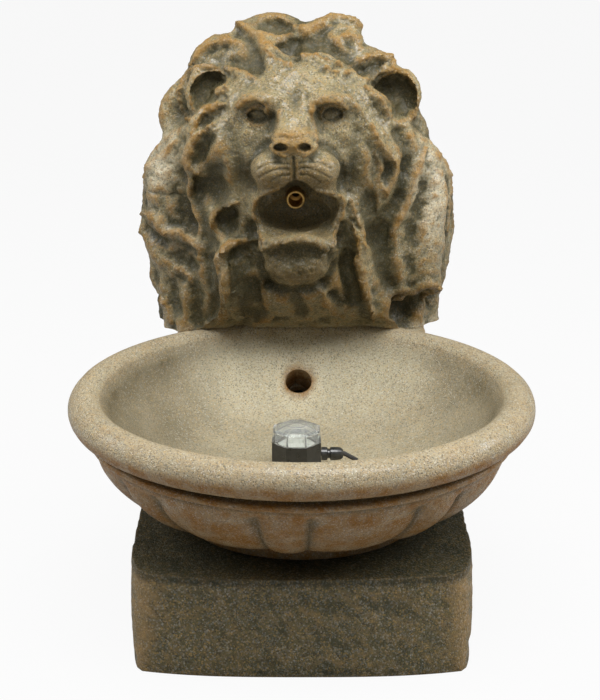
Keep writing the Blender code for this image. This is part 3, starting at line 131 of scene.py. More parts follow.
def makeStudio():
    scene = bpy.context.scene
    scene.view_settings.view_transform = "Standard"
    camera = bpy.data.objects.new("photoCamera", bpy.data.cameras.new("photoCamera"))
    camera.data.lens = studio["lens"]
    camera.location = studio["eye"]
    camera.rotation_euler = (math.radians(studio["tilt"]), 0.0, 0.0)
    scene.collection.objects.link(camera)
    scene.camera = camera
    for name, (place, aim, size, power) in studio["softboxes"].items():
        light = bpy.data.lights.new(name + "Softbox", "AREA")
        light.shape, light.size, light.energy = "DISK", size, power
        lamp = bpy.data.objects.new(name + "Softbox", light)
        lamp.location = place
        lamp.rotation_euler = (Vector(aim) - Vector(place)).to_track_quat("-Z", "Y").to_euler()
        scene.collection.objects.link(lamp)

    scene.world = bpy.data.worlds.new("studioWorld")
    scene.world.use_nodes = True
    tree = scene.world.node_tree
    rays = addNode(tree, "LightPath").outputs
    seen = doMath(tree, "MAXIMUM", rays["Is Camera Ray"], rays["Is Transmission Ray"])
    strength = ramp(tree, seen, toLow=studio["worldLight"])
    setInputs(tree, tree.nodes["Background"], {"Color": studio["white"], "Strength": strength})

    bpy.ops.mesh.primitive_plane_add(size=studio["floorSize"], location=(0.0, 0.0, 0.0))
    floor = bpy.context.object
    floor.name = "studioFloor"
    paper, tree, shader = newMaterial("palePaper")
    setInputs(tree, shader, {"Base Color": studio["paper"], "Roughness": studio["paperRough"]})
    glow = addNode(tree, "Emission", {"Strength": 1.0}).outputs["Emission"]
    amount = multiply(tree, addNode(tree, "LightPath").outputs["Is Camera Ray"], studio["paperGlow"])
    mix = addNode(tree, "MixShader", {"Fac": amount, 1: shader.outputs["BSDF"], 2: glow})
    setInputs(tree, tree.nodes["Material Output"], {"Surface": mix.outputs["Shader"]})
    floor.data.materials.append(paper)
    bpy.ops.object.select_all(action="DESELECT")
    print("studio ready")


makeStudio()


# Stone

sand = {
    "grains": {  # the cell's colour channel, and the values between which the grain sets in
        "Dark": (0, 0.84, 0.93), "Ochre": (1, 0.78, 0.9), "Pink": (2, 0.82, 0.92),
        "Slate": (0, 0.2, 0.08), "Quartz": (1, 0.12, 0.05)},
    "pebbles": {"Dark": 0, "Quartz": 1},
    "pebbleShade": (0.86, 0.9),
    "pebbleEdge": (0.45, 0.25),
    "grainHeight": -0.6,
    "stains": {"Cloud": (26.0, 5.0, 0.62, 0.35, 0.65), "Patch": (75.0, 4.0, 0.6, 0.4, 0.62)},
    "specks": {"Ochre": (0.55, 0.34, 0.10), "Pink": (0.50, 0.33, 0.20), "Slate": (0.17, 0.19, 0.19),
               "Quartz": (0.80, 0.77, 0.68), "Dark": (0.045, 0.038, 0.025)},
    "speckShares": {"Ochre": 0.36, "Pink": 0.12, "Slate": 0.38},  # the others are the stone's own
    "cloudShare": 0.75,
    "patchShare": 0.25,
    "warmTint": (0.96, 0.83, 0.64),
    "paleShare": 0.85,
    "wornFrom": 0.62,
    "dirtAndShadeFrom": 0.80,
    "dirtAndShadeDims": 0.75,
    "wornDims": 0.55,
    "wornDulls": 0.35,
    "glint": 0.26,
    "roughSpread": (-0.08, 0.10),
    "specular": 0.24,
    "coatRough": 0.16,
    "lumpScale": 150.0,
    "bumpStrength": 0.8,
    "grainBump": 0.0010,
}

# hollow is the tint for dirt and painted shade; pale is the tint for painted light and painted highlights, and for
# the head's paler foot
stoneLooks = {
    "headStone": {"body": (0.31, 0.266, 0.144), "shade": (0.195, 0.168, 0.086), "wash": (0.285, 0.145, 0.022),
                  "hollow": (0.040, 0.037, 0.015), "pale": (0.76, 0.70, 0.52), "rough": 0.46, "gloss": 0.7,
                  "grain": 900.0, "pebble": 360.0, "lumps": 0.0017, "specks": {"Quartz": 0.22, "Dark": 0.62}},
    "basinStone": {"body": (0.420, 0.375, 0.256), "shade": (0.342, 0.312, 0.213), "wash": (0.245, 0.106, 0.012),
                   "hollow": (0.060, 0.044, 0.016), "pale": (0.70, 0.64, 0.45), "rough": 0.50, "gloss": 0.55,
                   "grain": 1050.0, "pebble": 520.0, "lumps": 0.0006, "specks": {"Quartz": 0.32, "Dark": 0.62}},
    "plinthStone": {"body": (0.108, 0.096, 0.045), "shade": (0.078, 0.076, 0.038), "wash": (0.25, 0.165, 0.070),
                    "hollow": (0.016, 0.019, 0.009), "pale": (0.5, 0.5, 0.5), "rough": 0.60, "gloss": 0.25,
                    "grain": 800.0, "pebble": 360.0, "lumps": 0.0014, "specks": {"Quartz": 0.18, "Dark": 0.72}},
}


def makeSandGrain():
    outputs = [*sand["grains"], "Height", *sand["stains"]]
    tree, given, result = newGroup("sandGrain", {"Grain": 850.0, "Pebble": 330.0}, outputs)
    place = given["Vector"]
    fine, coarse = (addNode(tree, "TexVoronoi", {"Vector": place, "Scale": given[size]}).outputs
                    for size in ("Grain", "Pebble"))
    shades, pebbleShades = (addNode(tree, "SeparateColor", {"Color": cells["Color"]}).outputs
                            for cells in (fine, coarse))
    made = {name: ramp(tree, shades[channel], *span) for name, (channel, *span) in sand["grains"].items()}
    pebble = ramp(tree, coarse["Distance"], *sand["pebbleEdge"])
    for name, channel in sand["pebbles"].items():
        large = multiply(tree, pebble, ramp(tree, pebbleShades[channel], *sand["pebbleShade"]))
        made[name] = doMath(tree, "MAXIMUM", made[name], large)
    rough = addNode(tree, "TexNoise", {"Vector": place, "Scale": given["Pebble"], "Detail": 4.0}).outputs[0]
    made["Height"] = doMath(tree, "ADD", multiply(tree, fine["Distance"], sand["grainHeight"]), rough)
    for name, (scale, detail, roughness, *span) in sand["stains"].items():
        stain = addNode(tree, "TexNoise", {"Vector": place, "Scale": scale, "Detail": detail,
                                           "Roughness": roughness})
        made[name] = ramp(tree, stain.outputs[0], *span)
    setInputs(tree, result, made)
    return tree


def makeStone(name, look):
    material, tree, shader = newMaterial(name)
    grain = useGroup(tree, sandGrain, {"Grain": look["grain"], "Pebble": look["pebble"]})
    ridge, hollow, pale = (addNode(tree, "Attribute", attribute_name=layer).outputs["Fac"]
                           for layer in ("ridge", "hollow", "pale"))
    worn = multiply(tree, ridge, ramp(tree, grain["Patch"], toLow=sand["wornFrom"]), True)
    # the hollow layer darkens towards the hollow tint: partly dirt, partly painted shade in recesses, creases and
    # under overhangs
    dirtAndShade = multiply(tree, hollow, ramp(tree, grain["Cloud"], toLow=sand["dirtAndShadeFrom"]), True)
    dim = doMath(tree, "MAXIMUM", multiply(tree, dirtAndShade, sand["dirtAndShadeDims"]), multiply(tree, worn, sand["wornDims"]))
    bright = doMath(tree, "SUBTRACT", 1.0, dim, True)
    # the pale layer carries painted light on the dish's back wall and painted highlights on the head's side lobes
    layers = [(multiply(tree, grain["Cloud"], sand["cloudShare"]), look["shade"]),
              (multiply(tree, grain["Patch"], sand["patchShare"]),
               [value * tint for value, tint in zip(look["body"], sand["warmTint"])]),
              (multiply(tree, pale, sand["paleShare"]), look["pale"]), (worn, look["wash"]), (dirtAndShade, look["hollow"])]
    shares = {**sand["speckShares"], **look["specks"]}
    for label, tint in sand["specks"].items():
        layers.append((multiply(tree, grain[label], multiply(tree, bright, shares[label])), tint))
    colour = look["body"]
    for amount, tint in layers:
        colour = mixColours(tree, amount, colour, tint)

    rough = ramp(tree, grain["Cloud"], 0.0, 1.0, *(look["rough"] + spread for spread in sand["roughSpread"]))
    glint = multiply(tree, doMath(tree, "MAXIMUM", grain["Quartz"], grain["Slate"]), sand["glint"])
    wet = multiply(tree, ramp(tree, grain["Cloud"], 0.2, 1.0, 0.1), look["gloss"])
    bare = doMath(tree, "SUBTRACT", bright, multiply(tree, worn, sand["wornDulls"]), True)
    place = addNode(tree, "TexCoord").outputs["Object"]
    lumps = addNode(tree, "TexNoise", {"Vector": place, "Scale": sand["lumpScale"], "Detail": 4.0, "Roughness": 0.6})
    swell = addBump(tree, lumps.outputs[0], sand["bumpStrength"], look["lumps"])
    setInputs(tree, shader, {
        "Base Color": colour, "Roughness": doMath(tree, "SUBTRACT", rough, glint, True),
        "Coat Weight": multiply(tree, wet, bare), "Coat Roughness": sand["coatRough"],
        "Specular IOR Level": sand["specular"],
        "Normal": addBump(tree, grain["Height"], sand["bumpStrength"], sand["grainBump"], Normal=swell)})
    return material


sandGrain = makeSandGrain()
stones = {name: makeStone(name, look) for name, look in stoneLooks.items()}
print("stone finishes ready")


# Shaping helpers


def smoothRoute(points, spacing):
    knots = np.array(points, dtype=float)
    ends = np.vstack([2 * knots[0] - knots[1], knots, 2 * knots[-1] - knots[-2]])
    dense = [knots[0]]
    for before, start, end, after in zip(ends, ends[1:], ends[2:], ends[3:]):
        for step in range(1, 17):
            t = step / 16
            dense.append(0.5 * (2 * start + (end - before) * t + (2 * before - 5 * start + 4 * end - after) * t ** 2
                                + (3 * start - before - 3 * end + after) * t ** 3))
    dense = np.array(dense)
    steps = np.linalg.norm(np.diff(dense[:, :3], axis=0), axis=1)
    along = np.concatenate([[0.0], np.cumsum(steps)])
    wanted = np.linspace(0.0, along[-1], max(3, int(along[-1] / spacing) + 1))
    return np.stack([np.interp(wanted, along, values) for values in dense.T], axis=1)


def activate(piece):
    bpy.ops.object.select_all(action="DESELECT")
    piece.select_set(True)
    bpy.context.view_layer.objects.active = piece


def startEdit(piece, select="SELECT", kind=None):
    activate(piece)
    bpy.ops.object.mode_set(mode="EDIT")
    if kind:
        bpy.ops.mesh.select_mode(type=kind)
    bpy.ops.mesh.select_all(action=select)


def endEdit():
    bpy.ops.object.mode_set(mode="OBJECT")


def applyModifier(piece, kind, **settings):
    activate(piece)
    modifier = piece.modifiers.new(kind.lower(), kind)
    for key, value in settings.items():
        setattr(modifier, key, value)
    bpy.ops.object.modifier_apply(modifier=modifier.name)


def combine(piece, other, operation="DIFFERENCE"):
    kept = piece.data.copy()
    applyModifier(piece, "BOOLEAN", object=other, operation=operation, solver="EXACT")
    if operation == "DIFFERENCE" and len(piece.data.vertices) < len(kept.vertices) / 2:
        piece.data = kept  # clay that crosses itself is cut the slow way
        applyModifier(piece, "BOOLEAN", object=other, operation=operation, solver="EXACT", use_self=True)
    bpy.data.objects.remove(other, do_unlink=True)


def settle(name):
    piece = bpy.context.object
    bpy.ops.object.transform_apply(location=True, rotation=True, scale=True)
    piece.name = name
    return piece


def addRod(name, start, end, radius, sides=48):
    start, end = Vector(start), Vector(end)
    way = end - start
    bpy.ops.object.select_all(action="DESELECT")
    bpy.ops.mesh.primitive_cylinder_add(vertices=sides, radius=radius, depth=way.length, location=(start + end) / 2,
                                        rotation=way.to_track_quat("Z", "Y").to_euler())
    return settle(name)


def addBlock(name, low, high):
    low, high = Vector(low), Vector(high)
    bpy.ops.object.select_all(action="DESELECT")
    bpy.ops.mesh.primitive_cube_add(size=1.0, location=(low + high) / 2, scale=high - low)
    return settle(name)


def readPoints(mesh):
    points = np.empty(len(mesh.vertices) * 3)
    mesh.vertices.foreach_get("co", points)
    return points.reshape(-1, 3)


def writePoints(mesh, points):
    mesh.vertices.foreach_set("co", np.ascontiguousarray(points).ravel())
    mesh.update()


def readNormals(mesh):
    normals = np.empty(len(mesh.vertices) * 3)
    mesh.vertex_normals.foreach_get("vector", normals)
    return normals.reshape(-1, 3)


def unit(values):
    return np.clip(values, 0.0, 1.0)


def slope(values, start, reach):
    return unit((values - start) / reach)


def closeTo(values, centre, reach):
    return unit(1 - np.abs(values - centre) / reach)


def within(values, low, high):
    return (values > low) & (values < high)


def inBox(points, spans):
    return np.all([within(values, *span) for values, span in zip(points.T, spans)], axis=0)


def storePaint(mesh, **layers):
    for name, values in layers.items():
        layer = mesh.attributes.get(name) or mesh.attributes.new(name, "FLOAT", "POINT")
        layer.data.foreach_set("value", unit(values).astype(np.float32))


# ridges give wear; hollows give dirt and painted shade in concave places
def reliefWearDirtAndShade(mesh, relief):
    # ridges and hollows at two sizes, each with the height that counts as full and its share
    points = readPoints(mesh)
    normals = readNormals(mesh)
    count = len(points)
    edges = np.empty(len(mesh.edges) * 2, dtype=np.int64)
    mesh.edges.foreach_get("vertices", edges)
    first, second = edges[0::2], edges[1::2]
    share = np.maximum(np.bincount(first, minlength=count) + np.bincount(second, minlength=count), 1)[:, None]
    calm = points.copy()
    heights = []
    for step in range(1, max(relief["rounds"]) + 1):
        total = np.stack([np.bincount(first, values[second], count) + np.bincount(second, values[first], count)
                          for values in calm.T], axis=1)
        calm = 0.5 * calm + 0.5 * total / share
        if step in relief["rounds"]:
            heights.append(((points - calm) * normals).sum(axis=1))
    return [sum(unit(way * height / full) * part for height, (full, part) in zip(heights, relief[kind]))
            for kind, way in (("ridge", 1), ("hollow", -1))]


def noiseField(points, scale, seed):
    waves = np.random.default_rng(seed)
    total = np.zeros(len(points))
    for octave in range(3):
        for wave in range(7):
            way = waves.normal(size=3)
            way /= np.linalg.norm(way)
            rate = (2.0 ** octave) * math.tau / scale * waves.uniform(0.7, 1.3)
            total += np.sin(points @ way * rate + waves.uniform(0, math.tau)) / (2.0 ** octave)
    return total / 6.0


def noiseLayers(points, layers):
    return sum(noiseField(points, scale, seed) * height for scale, seed, height in layers)


def finishStone(piece, material, body, slotName, *replaced):
    piece.data.materials.clear()
    piece.data.materials.append(stones[material])
    activate(piece)
    bpy.ops.object.shade_smooth_by_angle(angle=math.radians(50))
    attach(piece, body)
    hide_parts(*replaced)
    triangles = sum(len(face.vertices) - 2 for face in piece.data.polygons)
    print(piece.name, "made:", triangles, "triangles")


# Basin

basinCasting = {
    "middleY": -0.0235,
    "depthRatio": 0.95,
    "rollRadius": 0.1845,
    "rollZ": 0.1925,
    "rollWidth": 0.0303,
    "rollHeight": 0.030,
    "floor": 0.130,
    "flat": 0.056,
    "dishPower": 2.4,
    "bodyTop": 0.160,
    "bodyRadius": 0.178,
    "footRadius": 0.105,
    "base": 0.0893,
    "footTop": 0.1003,
    "footInner": 0.093,
    "footRise": 0.009,
    "curve": 1.6,
    "coveOut": 0.002,
    # out from the body and down from the roll
    "cove": [(0.0, 0.0012), (-0.0018, 0.0022), (-0.0030, 0.0038), (-0.0024, 0.0054), (-0.0004, 0.0064),
             (0.0016, 0.0068), (0.0030, 0.0080), (0.0035, 0.0096), (0.0030, 0.0112), (0.0014, 0.0124),
             (-0.0006, 0.0134)],
    "seatCove": [(0.0, 0.002), (0.0035, 0.0095), (0.002, 0.013)],
    "pairs": 8,
    "stepsPerPair": 32,
    "narrow": math.radians(14),
    "turn": math.radians(-5),
    "fluteDepth": 0.0078,
    "fluteFade": 0.12,
    "fluteRound": 0.6,
    "holeCentre": (-0.003, 0.10855, 0.1617),
    "holeWay": (0.0, 0.66913, -0.74314),
    "holeRadius": 0.0125,
    "leadBore": (0.04775, 0.0059),
    "sway": [(0.11, 5, 0.00030), (0.024, 6, 0.00014)],  # scale, seed and height
    "swayBand": (0.140, 0.205),
}

basinPaint = {  # pairs say where a band starts or lies, and how far it reaches
    "relief": {"rounds": (3, 24), "ridge": [(0.0004, 0.8)], "hollow": [(0.0004, 0.0), (0.0011, 0.75)]},
    "outer": 0.186,
    "dishEdge": (0.176, -0.012),
    "dishFloor": 0.125,
    "dishMiddle": 0.02,
    "toSide": (0.085, 0.06),
    "sideShade": (0.44, 0.48, 0.10),  # right, left and everywhere
    "underRoll": (0.1945, -0.008),
    "bodyTop": 0.157,
    "washShare": (0.95, 0.70),  # above and below the body's top
    "holeEdge": 0.007,
    "rimEdgeShade": (0.1700, 0.0035),
    "rimCreaseShade": (0.1735, 0.0035),
    "rimShade": (0.1625, 0.006),
    # painted shade on the lower outer body, under the roll
    "low": (0.160, -0.05),
    # painted light on the dish's back wall, under the head
    "backWallLight": (0.055, 0.06),
}


def rollArc(grow, first, last, count):
    given = basinCasting
    return [(given["rollRadius"] + (given["rollWidth"] / 2 + grow) * math.cos(angle),
             given["rollZ"] + (given["rollHeight"] / 2 + grow) * math.sin(angle))
            for angle in np.linspace(math.radians(first), math.radians(last), count)]


def dishHeight(radius):
    given = basinCasting
    edgeRadius, edgeHeight = rollArc(0, 150, 150, 1)[0]
    share = np.maximum(0.0, radius - given["flat"]) / (edgeRadius - given["flat"])
    return given["floor"] + (edgeHeight - given["floor"]) * share ** given["dishPower"]


def bodyArc(grow, count):
    given = basinCasting
    points = []
    for share in 1 - (1 - np.linspace(0, 1, count)) ** 1.3:
        radius = given["footRadius"] + (given["bodyRadius"] - given["footRadius"]) * (
            1 - share ** given["curve"]) ** (1 / given["curve"])
        points.append((float(radius) + grow, float(given["bodyTop"] + (given["footTop"] - given["bodyTop"]) * share)))
    return points


def coveArc(grow, offsets):
    given = basinCasting
    start = given["bodyRadius"] + given["coveOut"]
    under = given["rollZ"] - given["rollHeight"] / 2
    return [(start + out + grow, under - down) for out, down in offsets]


def spinBasin(name, profile, fluted):
    given = basinCasting
    mesh = bpy.data.meshes.new(name)
    mesh.from_pydata([(radius, 0.0, height) for radius, height in profile],
                     [(index, index + 1) for index in range(len(profile) - 1)], [])
    piece = bpy.data.objects.new(name, mesh)
    bpy.context.scene.collection.objects.link(piece)
    startEdit(piece)
    steps = given["pairs"] * given["stepsPerPair"]
    bpy.ops.mesh.spin(steps=steps, angle=math.tau, center=(0, 0, 0), axis=(0, 0, 1))
    bpy.ops.mesh.select_all(action="SELECT")
    bpy.ops.mesh.remove_doubles(threshold=0.00002)
    bpy.ops.mesh.normals_make_consistent(inside=False)
    endEdit()

    points = readPoints(piece.data)
    radius = np.hypot(points[:, 0], points[:, 1])
    step = np.round(np.arctan2(points[:, 1], points[:, 0]) / (math.tau / steps)).astype(int) % steps
    pair, inPair = np.divmod(step, given["stepsPerPair"])
    pairAngle = math.tau / given["pairs"]
    narrowSteps = given["stepsPerPair"] // 4
    wideSteps = given["stepsPerPair"] - narrowSteps
    inNarrow = inPair <= narrowSteps
    inside = np.where(inNarrow, given["narrow"] * inPair / narrowSteps,
                      given["narrow"] + (pairAngle - given["narrow"]) * (inPair - narrowSteps) / wideSteps)
    share = np.where(inNarrow, inPair / narrowSteps, (inPair - narrowSteps) / wideSteps)
    bulge = np.sin(np.pi * unit(share)) ** given["fluteRound"]
    bulge[(inPair == 0) | (inPair == narrowSteps)] = 0.0
    outside = (radius > given["footRadius"] * 0.99) & (
        points[:, 2] < dishHeight(np.minimum(radius, given["bodyRadius"])) - 0.002)
    depth = (given["bodyTop"] - points[:, 2]) / (given["bodyTop"] - given["footTop"])
    strength = np.where(within(depth, 0, 1.001), given["fluteDepth"] * unit(depth / given["fluteFade"]), 0.0)
    if fluted:
        radius = radius - strength * (1.0 - bulge) * outside
    angle = pair * pairAngle + inside - math.pi / 2 + given["turn"] - given["narrow"] / 2
    points[:, 0] = radius * np.cos(angle)
    points[:, 1] = radius * np.sin(angle) * given["depthRatio"] + given["middleY"]
    writePoints(piece.data, points)
    return piece


def addReturnBore(sides):
    centre, wayBack = Vector(basinCasting["holeCentre"]), Vector(basinCasting["holeWay"])
    return addRod("returnBore", centre - wayBack * 0.03, centre + wayBack * 0.056, basinCasting["holeRadius"], sides)


def makeBasinCasting():
    given = basinCasting
    edge = rollArc(0, 150, 150, 1)[0][0]
    dish = [(radius, given["floor"]) for radius in (0.0, 0.02, 0.04)]
    dish += [(radius, float(dishHeight(radius))) for radius in np.linspace(given["flat"], edge, 19)[:-1].tolist()]
    foot, base, rise = given["footRadius"], given["base"], given["base"] + given["footRise"]
    under = [(foot, given["footTop"] - 0.0006), (foot + 0.0002, base + 0.0012), (foot - 0.0012, base),
             (given["footInner"] + 0.002, base), (given["footInner"], rise), (0.0, rise)]
    profile = dish + rollArc(0, 150, -78, 30) + coveArc(0.0, given["cove"]) + bodyArc(0, 20) + under
    basin = spinBasin("basinCasting", profile, True)
    points = readPoints(basin.data)
    sway = np.abs(noiseLayers(points, given["sway"])) * within(points[:, 2], *given["swayBand"])
    writePoints(basin.data, points - readNormals(basin.data) * sway[:, None])

    combine(basin, addReturnBore(56))
    leadX, leadRadius = given["leadBore"]
    combine(basin, addRod("leadBore", (leadX, given["middleY"], 0.08), (leadX, given["middleY"], 0.14), leadRadius))
    paintBasin(basin.data)
    finishStone(basin, "basinStone", "fountain", "cast_sandstone", "basin")


def paintBasin(mesh):
    given, paint = basinCasting, basinPaint
    points = readPoints(mesh)
    x, y, height = points.T
    radius = np.hypot(x, (y - given["middleY"]) / given["depthRatio"])
    fromHole = points - np.array(given["holeCentre"])
    hole = np.linalg.norm(fromHole, axis=1)
    outside = (radius > paint["outer"]) | (
        height < dishHeight(np.minimum(radius, given["rollRadius"] - 0.014)) - 0.002)
    inDish = ~outside * slope(radius, *paint["dishEdge"]) * (height > paint["dishFloor"])
    inBore = (hole < 0.03) & (np.abs(fromHole @ np.array(given["holeWay"])) > 0.006) & (
        height < dishHeight(radius) - 0.003)
    right, left, everywhere = paint["sideShade"]
    toSide = slope(np.abs(x - paint["dishMiddle"]), *paint["toSide"])
    shade = toSide * np.where(x > 0, right, left) + everywhere

    ridge, hollow = reliefWearDirtAndShade(mesh, paint["relief"])
    ridge += outside * slope(height, *paint["underRoll"]) * np.where(height > paint["bodyTop"], *paint["washShare"])
    ridge += slope(hole, given["holeRadius"] + paint["holeEdge"], -paint["holeEdge"]) * 0.85
    # painted shade line, in the ochre tint, along the rim's inner edge
    ridge += closeTo(radius, *paint["rimEdgeShade"]) * (height > 0.19) * 0.35
    # painted shade along the crease at the rim's inner edge
    hollow += closeTo(height, *paint["rimCreaseShade"]) * within(radius, 0.172, 0.182) * 0.8
    # painted shade on the lower outer body, under the roll
    hollow += slope(height, *paint["low"]) * (radius > 0.1) * 0.25
    hollow += inBore * 0.9 + closeTo(radius, *paint["rimShade"]) * (height > 0.17) * 1.6
    # in the dish, painted shade towards the sides takes the place of the hollows; pale is painted light on the back
    # wall
    storePaint(mesh, ridge=ridge, hollow=hollow * (1 - 0.85 * inDish) + inDish * shade,
               pale=inDish * slope(y, *paint["backWallLight"]) * (1 - shade))


def basinSeat(grow, moulded=True):
    given = basinCasting
    roll = rollArc(grow, 90, -10, 8)
    if moulded:
        roll = rollArc(grow, 150, -75, 16)[2:] + coveArc(grow, given["seatCove"])
    top = given["rollZ"] + given["rollHeight"] / 2 + grow
    profile = [(0.0, top)] + roll + bodyArc(grow, 12) + [(given["footRadius"] + grow, 0.06), (0.0, 0.06)]
    return spinBasin("basinSeat", profile, False)


makeBasinCasting()


# Lion's head, in millimetres; strokes lie on the plane y = 160 as the camera's eye sees it

headCasting = {
    "voxel": 2.3,
    "relax": 3,
    "fill": 7.0,  # crevices narrower than twice this are filled between the locks
    "inset": 1.2,  # taken off before the strokes stand proud
    "strokePlane": 160.0,
    "back": 213.5,
    "base": 204.8,
    "crown": 488.0,  # what stands above this is drawn in, down to the top
    "top": 500.6,
    "mouth": [((-4, 72, 343), (33, 30, 19)), ((-4, 82, 330), (32, 26, 15)), ((-4, 58, 356), (15, 25, 18)),
              ((-4, 84, 344), (30, 14, 20))],
    "earCups": {"left": (-84, 138, 430, math.radians(24)), "right": (88, 138, 429, math.radians(-24))},
    "earBall": (24, 13, 26),
    "earDent": ((20, 22, 22), 17),
    "eyes": {"left": (-38.5, 420.0), "right": (26.5, 421.5)},
    "eyeDent": ((9.5, 24, 7.0), 7),
    "eyeBall": (7.6, 5.6, 3.6),  # half width, half height, bulge
    "nostrils": {"left": (-19.0, 400), "right": (3.0, 400)},
    "nostrilDent": ((7.2, 10, 4.3), 7),
    "nostrilWing": ((8, 14, 8), -2.6),
    # drawBack is how far the beard's low end runs back for each millimetre down
    "beard": {"end": 207.0, "gap": 2.0, "lap": 10.0, "middle": 2, "width": 46, "drawBack": 1.3, "share": 0.86},
    "cavity": {"grid": (3.0, -180, 190, 360, 330), "behind": 185.0, "blurs": [(3, 7.0), (8, 17.0)], "share": 0.55},
    "knobs": [(26.0, 11, 1.5), (12.0, 12, 0.8)],
    "pits": (5.0, 13),
    "frays": (9.0, 14),
    # the room for hose and spout, in metres
    "hollows": [((-0.054, 0.130, 0.262), (0.048, 0.2015, 0.395)), ((-0.053, 0.163, 0.180), (0.047, 0.2010, 0.270))],
    "spout": (-0.0055, 0.3420),
    "spoutBores": [(0.1145, 0.150, 0.0165), (0.078, 0.148, 0.0088)],
}

faceMasses = {
    "skull": [((-4, 120, 418), (77, 56, 47)), ((-4, 104, 436), (52, 38, 30))],
    "cheeks": [((-52, 116, 388), (40, 42, 46)), ((44, 116, 388), (40, 42, 46)), ((-44, 122, 340), (42, 34, 50)),
        ((36, 122, 340), (42, 34, 50))],
    "snout": [((-5, 84, 390), (33, 47, 31)), ((-7, 62, 402), (18, 28, 16))],
    "muzzlePads": [((-25, 62, 377), (21, 25, 19)), ((14, 62, 377), (21, 25, 19)), ((-6, 54, 384), (12, 15, 12))],
    "nosePad": [((-8, 43, 403), (18, 12, 9.5)), ((-8, 52, 412), (16, 16, 8))],
    "jaw": [((-4, 84, 288), (33, 34, 20)), ((-4, 100, 300), (36, 40, 26))],
    "brow": [((-30, 78, 434), (22, 15, 8)), ((22, 78, 434), (22, 15, 8)), ((-22, 70, 431), (9, 9, 8)),
        ((14, 70, 431), (9, 9, 8))],
    "neck": [((-4, 150, 270), (100, 44, 80)), ((-4, 140, 230), (90, 34, 40)), ((0, 168, 225), (122, 46, 60))],
    "maneCore": [((-4, 172, 340), (126, 44, 128)), ((-4, 165, 420), (104, 44, 62)), ((-4, 172, 455), (62, 34, 34)),
        ((-2, 196, 330), (122, 38, 132)), ((-2, 190, 235), (118, 36, 56)), ((-4, 190, 410), (98, 34, 66)),
        ((-86, 152, 335), (34, 30, 92)), ((78, 150, 335), (34, 30, 92)), ((0, 150, 232), (116, 34, 50))],
}

faceRidges = {
    "noseBridge": [(-5, 84, 434, 14), (-6, 70, 424, 15), (-7, 56, 413, 15)],
    "browLeft": [(-14, 66, 432, 6), (-30, 66, 437, 7), (-46, 74, 434, 7), (-58, 84, 424, 6)],
    "browRight": [(6, 66, 432, 6), (22, 66, 437, 7), (38, 74, 434, 7), (50, 84, 424, 6)],
    "cheekBoneLeft": [(-24, 74, 408, 9), (-42, 80, 404, 10), (-60, 92, 400, 11)],
    "cheekBoneRight": [(16, 74, 408, 9), (34, 80, 404, 10), (52, 92, 400, 11)],
    "lipLeft": [(-8, 44, 373, 4), (-21, 51, 363, 5), (-35, 63, 354, 5), (-42, 75, 345, 4)],
    "lipRight": [(-4, 44, 373, 4), (11, 51, 363, 5), (27, 63, 354, 5), (35, 75, 345, 4)],
    "mouthEdgeLeft": [(-41, 77, 347, 4), (-42, 82, 336, 5), (-38, 79, 320, 5), (-33, 70, 304, 5)],
    "mouthEdgeRight": [(34, 77, 347, 4), (35, 82, 336, 5), (31, 79, 320, 5), (25, 70, 304, 5)],
    "lowerLip": [(-33, 66, 305, 7), (-20, 56, 312, 7), (-4, 53, 314, 7.5), (12, 56, 312, 7), (25, 66, 305, 7)],
    "jawLeft": [(-34, 110, 312, 14), (-28, 84, 296, 14), (-16, 68, 287, 12)],
    "jawRight": [(26, 110, 312, 14), (20, 84, 296, 14), (8, 68, 287, 12)],
}

crownLocks = {
    "crestLeft": [(-31, 128, 467, 13), (-39, 140, 475, 15), (-46, 150, 483, 13), (-54, 150, 489, 6)],
    "crestLeftTop": [(-48, 158, 487, 9), (-32, 160, 491, 11), (-15, 162, 490, 11), (0, 160, 481, 9)],
    "crestLeftLip": [(-51, 142, 489, 5), (-35, 136, 481, 7), (-19, 134, 478, 6), (-10, 140, 479, 4)],
    "crestRight": [(2, 135, 475, 12), (14, 145, 483, 14), (31, 152, 487, 15), (45, 150, 488, 11), (52, 148, 488, 6)],
    "crestRightLow": [(16, 128, 472, 12), (31, 132, 472, 14), (43, 138, 469, 13), (51, 142, 470, 8)],
    "crestValley": [(0, 140, 469, 12), (-2, 155, 475, 13), (-2, 170, 478, 12)],
    "shoulderLeft": [(-48, 135, 463, 14), (-60, 145, 468, 14), (-78, 155, 465, 15), (-94, 155, 454, 12)],
    "shoulderLeftRim": [(-53, 160, 472, 8), (-66, 164, 470, 9), (-81, 167, 464, 9), (-96, 167, 450, 8)],
    "shoulderRight": [(45, 130, 464, 10), (62, 140, 459, 13), (77, 150, 451, 11), (85, 150, 446, 6)],
    "shoulderRightLow": [(34, 118, 462, 8), (51, 125, 456, 9), (66, 135, 455, 8), (81, 145, 447, 6)],
    "forelockLeft": [(-37, 125, 473, 9), (-27, 112, 470, 8), (-18, 100, 465, 7), (-9, 90, 460, 4)],
    "forelockRight": [(0, 112, 463, 6), (12, 106, 466, 8), (24, 99, 463, 8), (35, 92, 458, 4)],
    "forelockFar": [(39, 106, 454, 5), (49, 108, 450, 6), (58, 114, 446, 4)],
    "templeLeft": [(-67, 135, 449, 7), (-54, 118, 450, 7), (-40, 102, 450, 4)],
    "templeKnob": [(-64, 106, 440, 5), (-71, 108, 435, 7), (-74, 114, 430, 5)],
}

